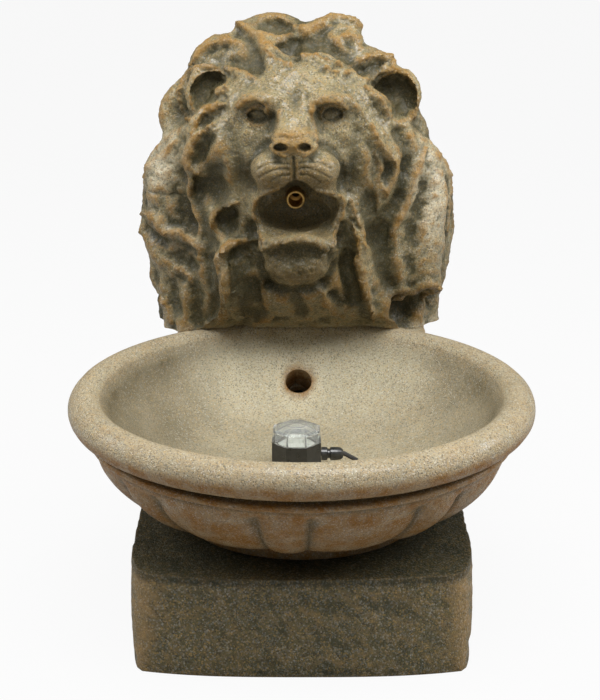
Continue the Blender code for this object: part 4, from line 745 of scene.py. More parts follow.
leftLocks = {
    "earBackLeft": [(-98, 158, 437, 11), (-112, 162, 424, 13), (-120, 163, 406, 14), (-123, 158, 389, 7)],
    "maneLeftUpper": [(-103, 135, 394, 10), (-121, 145, 377, 12), (-135, 155, 360, 12), (-142, 160, 342, 9)],
    "maneLeftLobe": [(-112, 144, 376, 18), (-121, 150, 353, 22), (-124, 152, 333, 23), (-124, 148, 312, 20)],
    "maneLeftBack": [(-137, 170, 353, 12), (-139, 172, 328, 14), (-141, 172, 305, 13), (-152, 165, 291, 5)],
    "flameLeft": [(-143, 154, 313, 6), (-134, 145, 305, 9), (-118, 134, 296, 10), (-103, 126, 290, 8),
        (-94, 122, 277, 4)],
    "flameLeftLow": [(-142, 158, 292, 8), (-134, 152, 276, 13), (-122, 144, 268, 13), (-110, 136, 257, 10),
        (-100, 130, 248, 5)],
    "tailLeftOuter": [(-139, 168, 277, 9), (-137, 168, 254, 11), (-138, 165, 241, 8), (-135, 160, 233, 4)],
    "tailLeftMid": [(-126, 152, 259, 10), (-126, 150, 237, 11), (-123, 146, 217, 11), (-121, 142, 196, 11)],
    "tailLeftBack": [(-128, 178, 235, 14), (-126, 178, 214, 15), (-124, 174, 192, 15)],
    "tailLeftInner": [(-108, 134, 264, 8), (-106, 131, 246, 10), (-109, 132, 223, 11), (-107, 133, 196, 12)],
    "ruffLeftTop": [(-70, 104, 425, 6), (-89, 108, 413, 8), (-98, 110, 398, 8), (-99, 112, 386, 6)],
    "ruffLeftMid": [(-82, 106, 404, 8), (-95, 108, 391, 9), (-101, 110, 372, 9), (-97, 108, 355, 7),
        (-102, 113, 340, 4)],
    "ruffLeftLow": [(-97, 120, 346, 9), (-93, 115, 330, 10), (-86, 110, 316, 9), (-93, 115, 296, 7)],
    "ruffLeftCurl": [(-58, 94, 339, 5), (-72, 98, 333, 7), (-81, 101, 318, 8), (-80, 106, 302, 6)],
}

rightLocks = {
    "earBackRight": [(96, 158, 414, 11), (105, 163, 394, 13), (112, 165, 380, 10), (117, 160, 374, 5)],
    "maneRightUpper": [(105, 140, 385, 10), (117, 150, 369, 13), (129, 160, 353, 11), (138, 165, 343, 7)],
    "maneRightLobe": [(112, 142, 363, 18), (114, 144, 337, 23), (111, 142, 309, 25), (110, 140, 280, 25),
        (113, 136, 259, 19), (127, 132, 245, 6)],
    "maneRightBack": [(128, 167, 345, 14), (130, 168, 313, 16), (130, 168, 282, 16), (129, 165, 246, 10)],
    "maneRightEdge": [(105, 126, 379, 5), (98, 118, 355, 8), (88, 114, 325, 8), (84, 114, 295, 8),
        (87, 117, 264, 8), (93, 122, 241, 5)],
    "tailRightOuter": [(124, 170, 235, 13), (120, 170, 214, 14), (122, 168, 192, 15)],
    "tailRightMid": [(114, 148, 230, 7), (108, 147, 214, 10), (104, 145, 196, 12)],
    "tailRightInner": [(84, 134, 241, 9), (87, 134, 220, 10), (90, 135, 196, 12)],
    "ruffRightTop": [(51, 98, 440, 6), (65, 102, 432, 8), (75, 107, 421, 8), (77, 110, 414, 5)],
    "ruffRightMid": [(66, 103, 419, 7), (75, 106, 400, 8), (84, 108, 383, 9), (87, 108, 368, 8), (80, 106, 351, 7),
        (75, 110, 340, 4)],
    "ruffRightBack": [(83, 122, 409, 10), (93, 124, 392, 11), (99, 126, 370, 11), (95, 124, 349, 10),
        (88, 122, 333, 8)],
    "ruffRightLow": [(58, 92, 386, 7), (63, 94, 365, 8), (65, 96, 343, 9), (69, 104, 322, 9)],
    "cheekLockRight": [(45, 90, 342, 6), (53, 93, 324, 8), (57, 98, 304, 8), (59, 105, 289, 5)],
}

beardLocks = {
    "hoodFill": [(-67, 84, 297, 7.5), (-65, 82, 285, 8.5), (-64, 82, 270, 9), (-63, 83, 255, 9), (-62, 85, 239, 9),
        (-59, 88, 225, 9)],
    "beardLeftOuter": [(-83, 116, 296, 7), (-87, 116, 277, 10), (-84, 118, 255, 10), (-80, 122, 229, 10),
        (-85, 128, 200, 12)],
    "beardLeftRidge": [(-55, 92, 303, 5), (-70, 95, 291, 7), (-76, 99, 273, 8), (-74, 106, 249, 9),
        (-68, 120, 222, 9), (-64, 130, 203, 9)],
    "beardLeftInner": [(-40, 90, 276, 7), (-35, 94, 260, 8), (-35, 102, 239, 8), (-43, 113, 221, 9),
        (-51, 124, 203, 9)],
    "beardCentreLeft": [(-21, 88, 262, 8), (-21, 96, 243, 9), (-29, 110, 225, 10), (-38, 124, 204, 10)],
    "beardCentre": [(-7, 84, 262, 10), (-3, 95, 240, 12), (-2, 108, 221, 14), (0, 122, 202, 14)],
    "beardCentreRight": [(12, 86, 264, 8), (17, 95, 247, 8), (30, 109, 229, 9), (42, 124, 204, 9)],
    "beardRightInner": [(23, 88, 286, 7), (29, 94, 266, 8), (34, 104, 243, 9), (47, 117, 220, 9), (56, 130, 203, 8)],
    "beardRightRidge": [(46, 94, 318, 6), (52, 95, 296, 8), (54, 99, 271, 8), (58, 107, 247, 9), (68, 122, 218, 9),
        (74, 130, 202, 9)],
    "beardRightOuter": [(63, 108, 305, 7), (67, 109, 283, 10), (72, 113, 258, 10), (77, 120, 234, 11),
        (80, 128, 200, 12)],
}

headRidges = {
    "earRimLeft": (5, 3.5, 0, [(-104, 401), (-111, 413), (-111, 430), (-103, 444), (-93, 449), (-80, 448),
        (-72, 442), (-69, 431)]),
    "earRimRight": (5, 3.5, 0, [(63, 437), (70, 445), (82, 447), (95, 443), (103, 430), (106, 415), (101, 400)]),
    "crestTopLeft": (5, 3, -1.5, [(-54, 489), (-48, 488), (-36, 494), (-23, 497), (-13, 491), (-5, 486)]),
    "crestLipLeft": (5, 4, 3, [(-56, 488), (-48, 484), (-36, 479), (-21, 476), (-10, 478)]),
    "crestTopRight": (5, 3, -1.5, [(2, 484), (14, 488), (23, 495), (35, 498), (46, 494), (51, 487)]),
    "crestLipRight": (5, 3.5, -4, [(-5, 484), (4, 481), (14, 485), (25, 487)]),
    "crestBackRight": (5, 3.5, -2, [(37, 478), (48, 475), (53, 467)]),
    "forelockLeft": (4.5, 4, 4, [(-32, 466), (-26, 459), (-19, 455), (-10, 450)]),
    "forelockRight": (4.5, 4, 4, [(2, 458), (12, 460), (24, 456), (36, 451)]),
    "forelockTip": (4, 3, 2, [(22, 448), (28, 445), (33, 445)]),
    "shoulderRight": (4.5, 3.5, -4, [(44, 451), (56, 455), (69, 459), (80, 457), (84, 450)]),
    "shoulderLeft": (4.5, 3, -1.5, [(-101, 452), (-93, 462), (-82, 470), (-67, 473), (-53, 469)]),
    "templeLeft": (4, 3, 3, [(-69, 448), (-57, 446), (-42, 439)]),
    "templeKnob": (4, 3, -2, [(-82, 423), (-75, 427), (-68, 429)]),
    "templeRight": (4, 3, 3, [(41, 445), (48, 445), (57, 439), (62, 437)]),
    "ruffLeftTop": (4, 4, 2.5, [(-71, 415), (-84, 411), (-95, 401), (-101, 389)]),
    "ruffLeftMid": (4, 4, 5, [(-82, 397), (-95, 386), (-102, 373), (-105, 359), (-100, 349)]),
    "ruffLeftTip": (4, 3.5, 5, [(-97, 351), (-102, 342), (-105, 329)]),
    "ruffRightTop": (4, 4, 3, [(59, 430), (68, 425), (76, 415), (79, 406)]),
    "ruffRightMid": (4, 4, -4, [(64, 395), (70, 381), (79, 369), (87, 361), (88, 351), (82, 340), (79, 329)]),
    "ruffRightInner": (3.5, 3, -2, [(69, 370), (74, 357), (73, 344), (78, 331)]),
    "flameLeft": (5, 5, -3, [(-151, 312), (-143, 310), (-136, 299), (-129, 292), (-119, 292), (-107, 286),
        (-98, 278), (-96, 267)]),
    "flameTip": (4, 3, 0, [(-158, 290), (-151, 297), (-145, 303)]),
    "tailLeft": (4, 3.5, 0, [(-146, 238), (-138, 232), (-133, 224)]),
    "tailLeftFlame": (4, 4, -3, [(-120, 258), (-110, 251), (-105, 244)]),
    "tailLeftLow": (3.5, 3, 3, [(-129, 228), (-127, 215), (-125, 202)]),
    "beardLeftRidge": (4, 5, 6, [(-44, 286), (-61, 282), (-73, 274), (-78, 262), (-74, 247), (-74, 231), (-79, 213)]),
    "beardLeftCurl": (4, 4, 5, [(-60, 322), (-73, 317), (-82, 308), (-86, 296)]),
    "beardInnerLeft": (4, 3.5, -5, [(-36, 252), (-37, 236), (-34, 217)]),
    "beardFootLeft": (4, 3.5, -4, [(-28, 209), (-39, 205), (-46, 201)]),
    "beardInnerRight": (4, 3.5, 5, [(20, 234), (29, 219), (40, 209)]),
    "beardRightRidge": (4, 4.5, -5, [(48, 302), (54, 284), (53, 266), (56, 247), (62, 227), (70, 206)]),
    "cheekLockRight": (4, 3, 4, [(46, 324), (53, 308), (59, 293), (61, 276)]),
    "lobeRightEdge": (4, 4, -5, [(114, 373), (106, 350), (100, 326), (90, 306), (85, 290)]),
    "lobeRightFoot": (4.5, 3.5, -7, [(86, 230), (103, 232), (121, 240), (133, 237)]),
    "lobeRightBack": (4, 3, 2, [(126, 370), (137, 355), (140, 342), (138, 315), (137, 293)]),
    "lobeLeftEdge": (4, 2.5, -2, [(-116, 381), (-129, 370), (-142, 359), (-148, 346)]),
    "browLeft": (5, 3.5, -2, [(-59, 414), (-50, 419), (-39, 420), (-32, 415), (-30, 406)]),
    "browRight": (5, 3.5, -2, [(9, 409), (11, 415), (20, 418), (30, 418), (41, 412)]),
    "lidLeft": (2.6, 1.8, 0, [(-52, 407), (-47, 411), (-41, 413), (-34, 410), (-32, 404)]),
    "lidRight": (2.6, 1.8, 0, [(18, 407), (22, 412), (28, 414), (34, 412), (38, 408)]),
    "lidLowLeft": (2.6, 1.5, 0, [(-51, 401), (-46, 397), (-40, 395), (-33, 399)]),
    "lidLowRight": (2.6, 1.5, 0, [(19, 402), (24, 398), (30, 398), (36, 402)]),
    "bridgeLeft": (4, 2, -2, [(-20, 409), (-22, 396), (-26, 383)]),
    "bridgeRight": (4, 2, 2, [(7, 409), (11, 396), (14, 383)]),
    "noseTop": (4.5, 2, 0, [(-27, 382), (-20, 387), (-8, 386), (7, 388), (15, 382)]),
    "noseWingLeft": (3.5, 2.5, -2, [(-26, 381), (-28, 375), (-22, 369), (-15, 367)]),
    "noseWingRight": (3.5, 2.5, 2, [(14, 381), (14, 375), (8, 370), (2, 367)]),
    "lipEdgeLeft": (3.2, 2.5, 0, [(-22, 336), (-33, 332), (-41, 327), (-45, 317), (-44, 304), (-39, 290),
        (-35, 279)]),
    "lipEdgeRight": (3.2, 2.5, 0, [(13, 335), (24, 332), (35, 330), (40, 321), (38, 308), (32, 295), (29, 279)]),
    "lowerLip": (4, 3, -1.5, [(-37, 276), (-22, 282), (-5, 285), (13, 282), (26, 275)]),
}

headGrooves = {
    "philtrum": (2.6, -2.6, [(-8, 365), (-7, 355), (-7, 344)]),
    "whiskerLeftTop": (2.2, -1.0, [(-12, 359), (-22, 360), (-32, 359), (-41, 354)]),
    "whiskerLeftMid": (2.2, -1.0, [(-12, 354), (-22, 354), (-31, 351), (-40, 346)]),
    "whiskerLeftLow": (2.2, -1.0, [(-11, 349), (-21, 347), (-29, 342)]),
    "whiskerRightTop": (2.2, -1.0, [(-2, 360), (7, 361), (18, 360), (27, 355)]),
    "whiskerRightMid": (2.2, -1.0, [(-2, 355), (7, 355), (17, 351), (26, 346)]),
    "whiskerRightLow": (2.2, -1.0, [(-1, 349), (7, 348), (17, 342)]),
    "castingSeam": (1.6, -1.6, [(-150, 332), (-132, 331), (-109, 330)]),
    "muzzleFoldLeft": (6, -2.5, [(-29, 381), (-41, 372), (-49, 357), (-48, 342), (-41, 332)]),
    "muzzleFoldRight": (6, -2.5, [(16, 381), (30, 370), (38, 354), (38, 339), (33, 332)]),
    "socketLeft": (6, -2, [(-53, 409), (-49, 402), (-41, 399), (-32, 401), (-29, 407)]),
    "socketRight": (6, -2, [(16, 407), (20, 401), (28, 399), (37, 403), (39, 409)]),
    "jawSideLeft": (6, -4, [(-40, 271), (-39, 257), (-33, 242)]),
    "jawSideRight": (6, -4, [(29, 272), (29, 257), (23, 243)]),
    "chinCrease": (8, -5, [(-33, 240), (-16, 235), (6, 236), (22, 242)]),
    "sideLeft": (13, -6, [(-101, 344), (-99, 326), (-96, 306), (-92, 290)]),
    "beardGapLeft": (15, -4, [(-50, 274), (-57, 259), (-57, 238), (-54, 215)]),
    "beardGapOuter": (10, -5, [(-87, 266), (-86, 247), (-83, 227), (-88, 208)]),
    "sideRight": (15, -8, [(66, 326), (74, 304), (76, 279), (79, 257), (86, 238)]),
    "beardGapRight": (10, -5, [(43, 261), (46, 241), (48, 220)]),
    "hollowUnderLobe": (15, -13, [(98, 222), (96, 206)]),
    "beardCentre": (10, -5, [(-7, 230), (0, 215)]),
    "footLeft": (11, -3, [(-102, 238), (-101, 217), (-99, 201)]),
    "footFarLeft": (9, -2, [(-121, 236), (-120, 217)]),
    "earBackRight": (8, -4, [(89, 389), (97, 372), (98, 350)]),
    "crownLeft": (9, -4, [(-47, 471), (-42, 457), (-40, 448)]),
    "crownMiddle": (9, -5, [(-7, 473), (-5, 462)]),
    "crownRight": (8, -4, [(23, 474), (35, 462), (44, 458)]),
    "browMiddle": (8, -2, [(-6, 424), (-6, 413)]),
    "cheekLeft": (12, -3, [(-68, 389), (-62, 370), (-58, 346)]),
    "cheekRight": (12, -3, [(53, 389), (51, 370), (47, 346)]),
    "lobeRightGroove": (11, -1.5, [(122, 359), (116, 333), (108, 308), (105, 284)]),
    "cheekShadeLeft": (16, -5, [(-82, 352), (-78, 330), (-70, 305)]),
    "chinSideLeft": (9, -4, [(-46, 300), (-44, 284)]),
    "chinSideRight": (9, -4, [(38, 300), (36, 284)]),
    "lobeLeftGroove": (6, -2, [(-132, 324), (-128, 311), (-122, 299)]),
}


class Clay:
    # overlapping balls, gathered before they are melted together

    def __init__(self, grow=0.0):
        self.grow = grow
        self.points = []
        self.faces = []
        self.count = 0
        self.balls = {}

    def unitBall(self, detail):
        if detail not in self.balls:
            work = bmesh.new()
            bmesh.ops.create_uvsphere(work, u_segments=detail, v_segments=detail // 2, radius=1.0)
            work.verts.index_update()
            points = np.array([vertex.co[:] for vertex in work.verts])
            self.balls[detail] = points, [[vertex.index for vertex in face.verts] for face in work.faces]
            work.free()
        return self.balls[detail]

    def ball(self, centre, radii, turn=0.0, detail=20):
        points, faces = self.unitBall(detail)
        spun = (points * (np.array(radii) + self.grow)) @ np.array(Matrix.Rotation(turn, 3, "Z")).T + np.array(centre)
        self.points.append(spun)
        self.faces += [[self.count + index for index in face] for face in faces]
        self.count += len(spun)

    def lock(self, route):
        for x, y, z, radius in smoothRoute(route, 0.3 * min(point[3] for point in route) + 1.0):
            self.ball((x, y, z), (radius, radius, radius), detail=16)

    def melted(self, name, voxel, rounds):
        mesh = bpy.data.meshes.new(name)
        mesh.from_pydata(np.vstack(self.points).tolist(), [], self.faces)
        form = bpy.data.objects.new(name, mesh)
        bpy.context.scene.collection.objects.link(form)
        remelt(form, voxel, rounds)
        return form


def remelt(form, voxel, rounds):
    applyModifier(form, "REMESH", mode="VOXEL", voxel_size=voxel)
    applyModifier(form, "SMOOTH", factor=0.5, iterations=rounds)


def seenFrom(points, normals):
    eye = np.array(studio["eye"]) * 1000.0
    reach = (headCasting["strokePlane"] - eye[1]) / (points[:, 1] - eye[1])
    across = eye[0] + (points[:, 0] - eye[0]) * reach
    up = eye[2] + (points[:, 2] - eye[2]) * reach
    toEye = eye - points
    toEye /= np.linalg.norm(toEye, axis=1)[:, None]
    return across, up, slope((normals * toEye).sum(axis=1), 0.05, 0.35)


def ease(share):
    return share * share * (3.0 - 2.0 * share)


def traceStroke(across, up, line, width, room):
    # the points near a stroke: how far off it, on which side, and how far from its ends
    route = smoothRoute(line, max(0.8, width / 4))
    low, high = route.min(axis=0) - room, route.max(axis=0) + room
    near = np.nonzero(within(across, low[0], high[0]) & within(up, low[1], high[1]))[0]
    span = np.full(len(near), np.inf)
    side, along = np.zeros(len(near)), np.zeros(len(near))
    for index, (point, way) in enumerate(zip(route, np.gradient(route, axis=0))):
        offX, offY = across[near] - point[0], up[near] - point[1]
        reach = offX * offX + offY * offY
        closer = reach < span
        span = np.where(closer, reach, span)
        side = np.where(closer, way[0] * offY - way[1] * offX, side)
        along = np.where(closer, index, along)
    return near, np.sqrt(span), np.sign(side), unit(np.minimum(along, len(route) - 1 - along) / (0.22 * len(route)))


def strokeShare(across, up, line, width):
    share = np.zeros(len(across))
    near, span, _, _ = traceStroke(across, up, line, width, width)
    share[near] = ease(unit(1.0 - span / width))
    return share


def lipProfile(across, up, line, width, valley):
    lip, golden, pressed = np.zeros((3, len(across)))
    near, span, side, fade = traceStroke(across, up, line, width, 2.6 * width + 2.0 * abs(valley))
    away = span * side * (1.0 if valley >= 0 else -1.0)  # positive on the valley's side
    shoulder = width * (0.8 + 1.4 * fade * (valley != 0))
    breadth = 4.0 + 1.3 * abs(valley)
    lip[near] = ease(np.where(away > 0, unit(1 - away / (0.8 * width)), unit(1 + away / shoulder)))
    golden[near] = ease(unit(1 - np.abs(away) / (0.85 * width)))
    sink = unit(1 - np.abs(away - 0.7 * width - 0.55 * breadth) / breadth) * fade
    pressed[near] = ease(sink) * (valley != 0)
    return lip, golden, pressed


def cavityAt(points):
    # how far each point lies behind the head's blurred front, at two widths of blur
    given = headCasting["cavity"]
    cell, left, base, width, height = given["grid"]
    across = np.round((points[:, 0] - left) / cell).astype(int)
    up = np.round((points[:, 2] - base) / cell).astype(int)
    front = np.full((int(height / cell), int(width / cell)), given["behind"])
    np.minimum.at(front, (up, across), points[:, 1])
    total = np.zeros(len(points))
    for spread, depth in given["blurs"]:
        weights = np.exp(-0.5 * (np.arange(-3 * spread, 3 * spread + 1) / spread) ** 2)
        weights /= weights.sum()
        calm = np.pad(front, 3 * spread, mode="edge")
        for axis in (0, 1):
            calm = np.apply_along_axis(np.convolve, axis, calm, weights, "valid")
        total += given["share"] * unit((points[:, 1] - calm[up, across]) / depth)
    return total


def dent(points, centre, radii, depth):
    offset = (points - np.array(centre)) / np.array(radii)
    share = unit(1.0 - (offset * offset).sum(axis=1)) ** 0.5
    points[:, 1] += depth * share
    return share


def buildHeadForm():
    given = headCasting
    clay = Clay(given["fill"])
    for centre, radii in (ball for balls in faceMasses.values() for ball in balls):
        clay.ball(centre, radii, detail=40)
    for group in (faceRidges, crownLocks, leftLocks, rightLocks, beardLocks):
        for route in group.values():
            clay.lock(route)
    for x, y, z, turn in given["earCups"].values():
        clay.ball((x, y, z), given["earBall"], turn, 32)
    form = clay.melted("lionHeadCasting", 2.4, 4)
    applyModifier(form, "DISPLACE", strength=-given["fill"] - given["inset"], mid_level=0.0)
    remelt(form, given["voxel"], given["relax"])
    return form


def refineFace(piece):
    x, y, z = readPoints(piece.data).T
    facing = readNormals(piece.data)[:, 1]
    fine = (np.abs(x + 4) < 60) & (y < 108) & (z > 275) & (facing < 0.2)
    ears = (np.abs(np.abs(x) - 86) < 32) & (np.abs(z - 430) < 32) & (facing < 0.1)
    picked = fine | ears
    flags = np.array([all(picked[index] for index in face.vertices) for face in piece.data.polygons])
    startEdit(piece, "DESELECT", "FACE")
    endEdit()
    piece.data.polygons.foreach_set("select", flags)
    bpy.ops.object.mode_set(mode="EDIT")
    bpy.ops.mesh.subdivide(number_cuts=1, smoothness=0.0)
    endEdit()


def settleBeard(points):
    # the low locks draw back behind the basin's rim and lap over it in the middle
    given, beard = basinCasting, headCasting["beard"]
    across = points[:, 0]
    roll = 1000 * given["rollRadius"]
    rim = 1000 * given["middleY"] + given["depthRatio"] * np.sqrt(np.maximum(0.0, roll ** 2 - across ** 2))
    front = rim - beard["gap"] - beard["lap"] * np.exp(-((across - beard["middle"]) / beard["width"]) ** 4)
    front -= beard["drawBack"] * (points[:, 2] - beard["end"])
    points[:, 1] += beard["share"] * np.maximum(0.0, front - points[:, 1])


def carveStrokes(points, normals):
    golden, dark = np.zeros((2, len(points)))
    across, up, facing = seenFrom(points, normals)
    for width, height, valley, line in headRidges.values():
        lip, rim, pressed = lipProfile(across, up, line, width, valley)
        points += normals * ((lip * height * 0.8 - pressed * abs(valley)) * facing)[:, None]
        golden = np.maximum(golden * (1 - pressed * facing), rim * facing)
        dark = np.maximum(dark, pressed * facing * min(1.0, abs(valley) / 5.0))
    for width, height, line in headGrooves.values():
        share = strokeShare(across, up, line, width) * facing
        points += normals * (share * height)[:, None]
        dark = np.maximum(dark, share * min(1.0, -height / 5.0))
    return golden, dark


def carveHead(mesh):
    given = headCasting
    points = readPoints(mesh)
    settleBeard(points)
    writePoints(mesh, points)
    golden, dark = carveStrokes(points, readNormals(mesh))
    for x, y, z, turn in given["earCups"].values():
        dark = np.maximum(dark, dent(points, (x + math.sin(turn) * 9, y - 14, z - 1), *given["earDent"]))
    for x, z in given["eyes"].values():
        dark = np.maximum(dark, dent(points, (x, 70, z), *given["eyeDent"]) * 0.7)
        wide, high, proud = given["eyeBall"]
        ball = np.hypot((points[:, 0] - x) / wide, (points[:, 2] - z + 0.5) / high)
        bulge = np.sqrt(unit(1.0 - ball ** 2)) * (points[:, 1] < 108)
        points[:, 1] -= proud * bulge
        dark = np.where(bulge > 0.3, 0.05 + 0.5 * (bulge < 0.5), dark)
    for x, z in given["nostrils"].values():
        dark = np.maximum(dark, dent(points, (x, 33, z), *given["nostrilDent"]))
        dent(points, (x + math.copysign(7.5, x + 8), 37, z + 6), *given["nostrilWing"])
    writePoints(mesh, points)
    # painted shade and dirt: darker the further a point lies behind the head's blurred front
    dark = unit(dark + cavityAt(points) * 0.95)
    face = np.exp(-((points[:, 0] + 6) / 50) ** 4 - ((points[:, 2] - 385) / 60) ** 4) * (points[:, 1] < 112)
    wear = noiseLayers(points, given["knobs"]) * (1 - 0.75 * face)
    wear += noiseField(points, *given["pits"]) * (0.36 - 0.2 * face)
    wear += golden * noiseField(points, *given["frays"]) * (1.8 - 1.2 * face)
    points += readNormals(mesh) * wear[:, None]
    over = np.maximum(0.0, points[:, 2] - given["crown"])
    points[:, 2] -= over * (1 - (given["top"] - given["crown"]) / over.max())
    writePoints(mesh, points)
    # hollow: dirt and painted shade in grooves, dents, ear cups, eyes and recesses
    storePaint(mesh, ridge=golden * 0.9, hollow=dark)


def makeHead():
    given = headCasting
    head = buildHeadForm()
    print("head melted:", len(head.data.vertices), "points")
    refineFace(head)
    carveHead(head.data)
    writePoints(head.data, readPoints(head.data) * 0.001)
    print("head carved:", len(head.data.vertices), "points")
    startEdit(head)
    for place, way in (((0, given["back"] * 0.001, 0), (0, 1, 0)), ((0, 0, given["base"] * 0.001), (0, 0, -1))):
        bpy.ops.mesh.select_all(action="SELECT")
        bpy.ops.mesh.bisect(plane_co=place, plane_no=way, use_fill=True, clear_outer=True, threshold=0.000001)
    endEdit()

    clay = Clay()
    for centre, radii in given["mouth"]:
        clay.ball(centre, radii, detail=36)
    mouth = clay.melted("mouthForm", 1.6, 4)
    writePoints(mouth.data, readPoints(mouth.data) * 0.001)
    for block in given["hollows"]:
        combine(mouth, addBlock("hollowBlock", *block), "UNION")
    x, z = given["spout"]
    for start, end, radius in given["spoutBores"]:
        combine(mouth, addRod("spoutBore", (x, start, z), (x, end, z), radius), "UNION")
    combine(head, mouth)
    combine(head, basinSeat(0.0003))
    paintHead(head.data)
    finishStone(head, "headStone", "fountain", "cast_sandstone", "lion_head")


headPaint = {
    "relief": {"rounds": (8, 60), "ridge": [(0.00055, 0.75), (0.0024, 0.12)],
               "hollow": [(0.00050, 0.45), (0.0016, 0.75)]},
    "mouth": ((-0.038, 0.030), (0.052, 0.113), (0.312, 0.364)),
    "mouthDark": 0.30,
    "deep": (0.150, 0.05),
    "deepShare": 0.12,
    "low": (0.38, -0.15),
    "lowShare": 0.28,
    "behind": (0.1, 0.5),
    "behindFrom": 0.165,
    "behindPale": 0.55,
    "foot": (0.214, -0.006),
    "footPale": 0.8,
    "pitDulls": 0.4,
    # soft spots: middle across and up, half sizes, roundness, and the depth in front of which they lie
    "nose": (-0.008, 0.4045, 0.019, 0.0125, 4, 0.062),
    "snout": (-0.005, 0.370, 0.042, 0.017, 4, 0.1),
    "chin": (-0.006, 0.292, 0.034, 0.022, 4, 0.11),
    # lobe spots: painted highlights standing in for the sheen on the mane's side lobes
    "underLip": (-0.006, 0.298, 0.036, 0.024, 2, 1.0),
    "lobeLeft": (-0.128, 0.362, 0.022, 0.026, 2, 1.0),
    "lobeRight": (0.120, 0.332, 0.022, 0.044, 2, 1.0),
    "lobeLeftLow": (-0.118, 0.300, 0.020, 0.018, 2, 1.0),
}


def paintHead(mesh):
    paint = headPaint
    points = readPoints(mesh)
    x, y, z = points.T
    golden, dark = (np.empty(len(points), dtype=np.float32) for _ in range(2))
    mesh.attributes["ridge"].data.foreach_get("value", golden)
    mesh.attributes["hollow"].data.foreach_get("value", dark)

    def spot(name):
        middle, up, width, height, power, front = paint[name]
        return np.exp(-((x - middle) / width) ** power - ((z - up) / height) ** power) * (y < front)

    edge, pit = reliefWearDirtAndShade(mesh, paint["relief"])
    pit += slope(y, *paint["deep"]) * paint["deepShare"]
    low = slope(z, *paint["low"]) * paint["lowShare"] + spot("underLip") * 0.80
    snout = spot("snout")
    dark = np.maximum(dark, pit) + low + snout * 0.44
    dark = np.where(inBox(points, paint["mouth"]), np.minimum(dark, paint["mouthDark"]), dark)
    behind = slope(readNormals(mesh)[:, 1], *paint["behind"]) * (y > paint["behindFrom"])
    dark *= 1 - paint["behindPale"] * behind
    golden = np.maximum.reduce([golden, edge, spot("nose") * 0.75, snout * 0.6, spot("chin") * 0.55])
    # pale: painted highlight on the side lobes, and a paler foot
    lobeHighlightsAndPaleFoot = spot("lobeLeft") + spot("lobeRight") + 0.5 * spot("lobeLeftLow")
    lobeHighlightsAndPaleFoot += paint["footPale"] * slope(z, *paint["foot"])
    storePaint(mesh, ridge=golden * (1 - paint["pitDulls"] * unit(pit)), hollow=dark, pale=lobeHighlightsAndPaleFoot * (1 - unit(dark)))


makeHead()


# Plinth

plinthCasting = {
    "width": 0.289,
    "frontWidth": 0.248,
    "flare": 0.008,
    "belly": 0.002,
    "bow": 0.010,
    "front": -0.1575,
    "back": 0.2135,
    "height": 0.089,
    "wall": 0.009,
    "sideWall": 0.0265,
    "frontWall": 0.0225,
    "frontCurve": 0.06,
    "edge": 0.0045,
    "cuts": (56, 60, 20),
    "hewn": [(0.05, 21, 0.0014), (0.016, 22, 0.0006)],
    "deckOpening": ((-0.095, 0.112, 0.070), (0.095, 0.2005, 0.100)),
    "drain": (0.100, 0.022, 0.0063, 0.0098, 0.2112),
    "leadBore": (0.04775, -0.0235, 0.0056),
    "relief": {"rounds": (3, 20), "ridge": [(0.00035, 0.7), (0.0012, 0.3)], "hollow": [(0.0004, 0.4), (0.0009, 0.5)]},
    "darkerToFoot": (0.010, -0.010),
    "deckFrom": 0.082,
    "deckShade": 0.78,
    "underBowlShade": (0.135, -0.03),
    "reservoir": ((-0.1185, 0.1185), (-0.136, 0.2046), (0.004, 0.0805)),
    "reservoirDark": 0.6,
}


def hewBlock(name, low, high, cuts):
    block = addBlock(name, low, high)
    startEdit(block)
    for axis, count in enumerate(cuts):
        for index in range(1, count):
            place, way = [0.0, 0.0, 0.0], [0.0, 0.0, 0.0]
            place[axis] = low[axis] + (high[axis] - low[axis]) * index / count
            way[axis] = 1.0
            bpy.ops.mesh.select_all(action="SELECT")
            bpy.ops.mesh.bisect(plane_co=place, plane_no=way)
    bpy.ops.mesh.select_all(action="DESELECT")
    endEdit()
    return block


def roundEdges(piece, width):
    startEdit(piece, "DESELECT", "EDGE")
    bpy.ops.mesh.edges_select_sharp(sharpness=math.radians(60))
    bpy.ops.mesh.bevel(offset=width, segments=3, profile=0.6, clamp_overlap=True)
    bpy.ops.mesh.select_all(action="DESELECT")
    endEdit()


def addBackBore(room, x, z, radius, flange, seat):
    combine(room, addRod("backBore", (x, 0.19, z), (x, 0.23, z), radius, 32), "UNION")
    combine(room, addRod("backRebate", (x, seat, z), (x, 0.235, z), flange, 32), "UNION")


def addUprightBore(room, low, high, sides, x, y, radius):
    combine(room, addRod("uprightBore", (x, y, low), (x, y, high), radius, sides), "UNION")


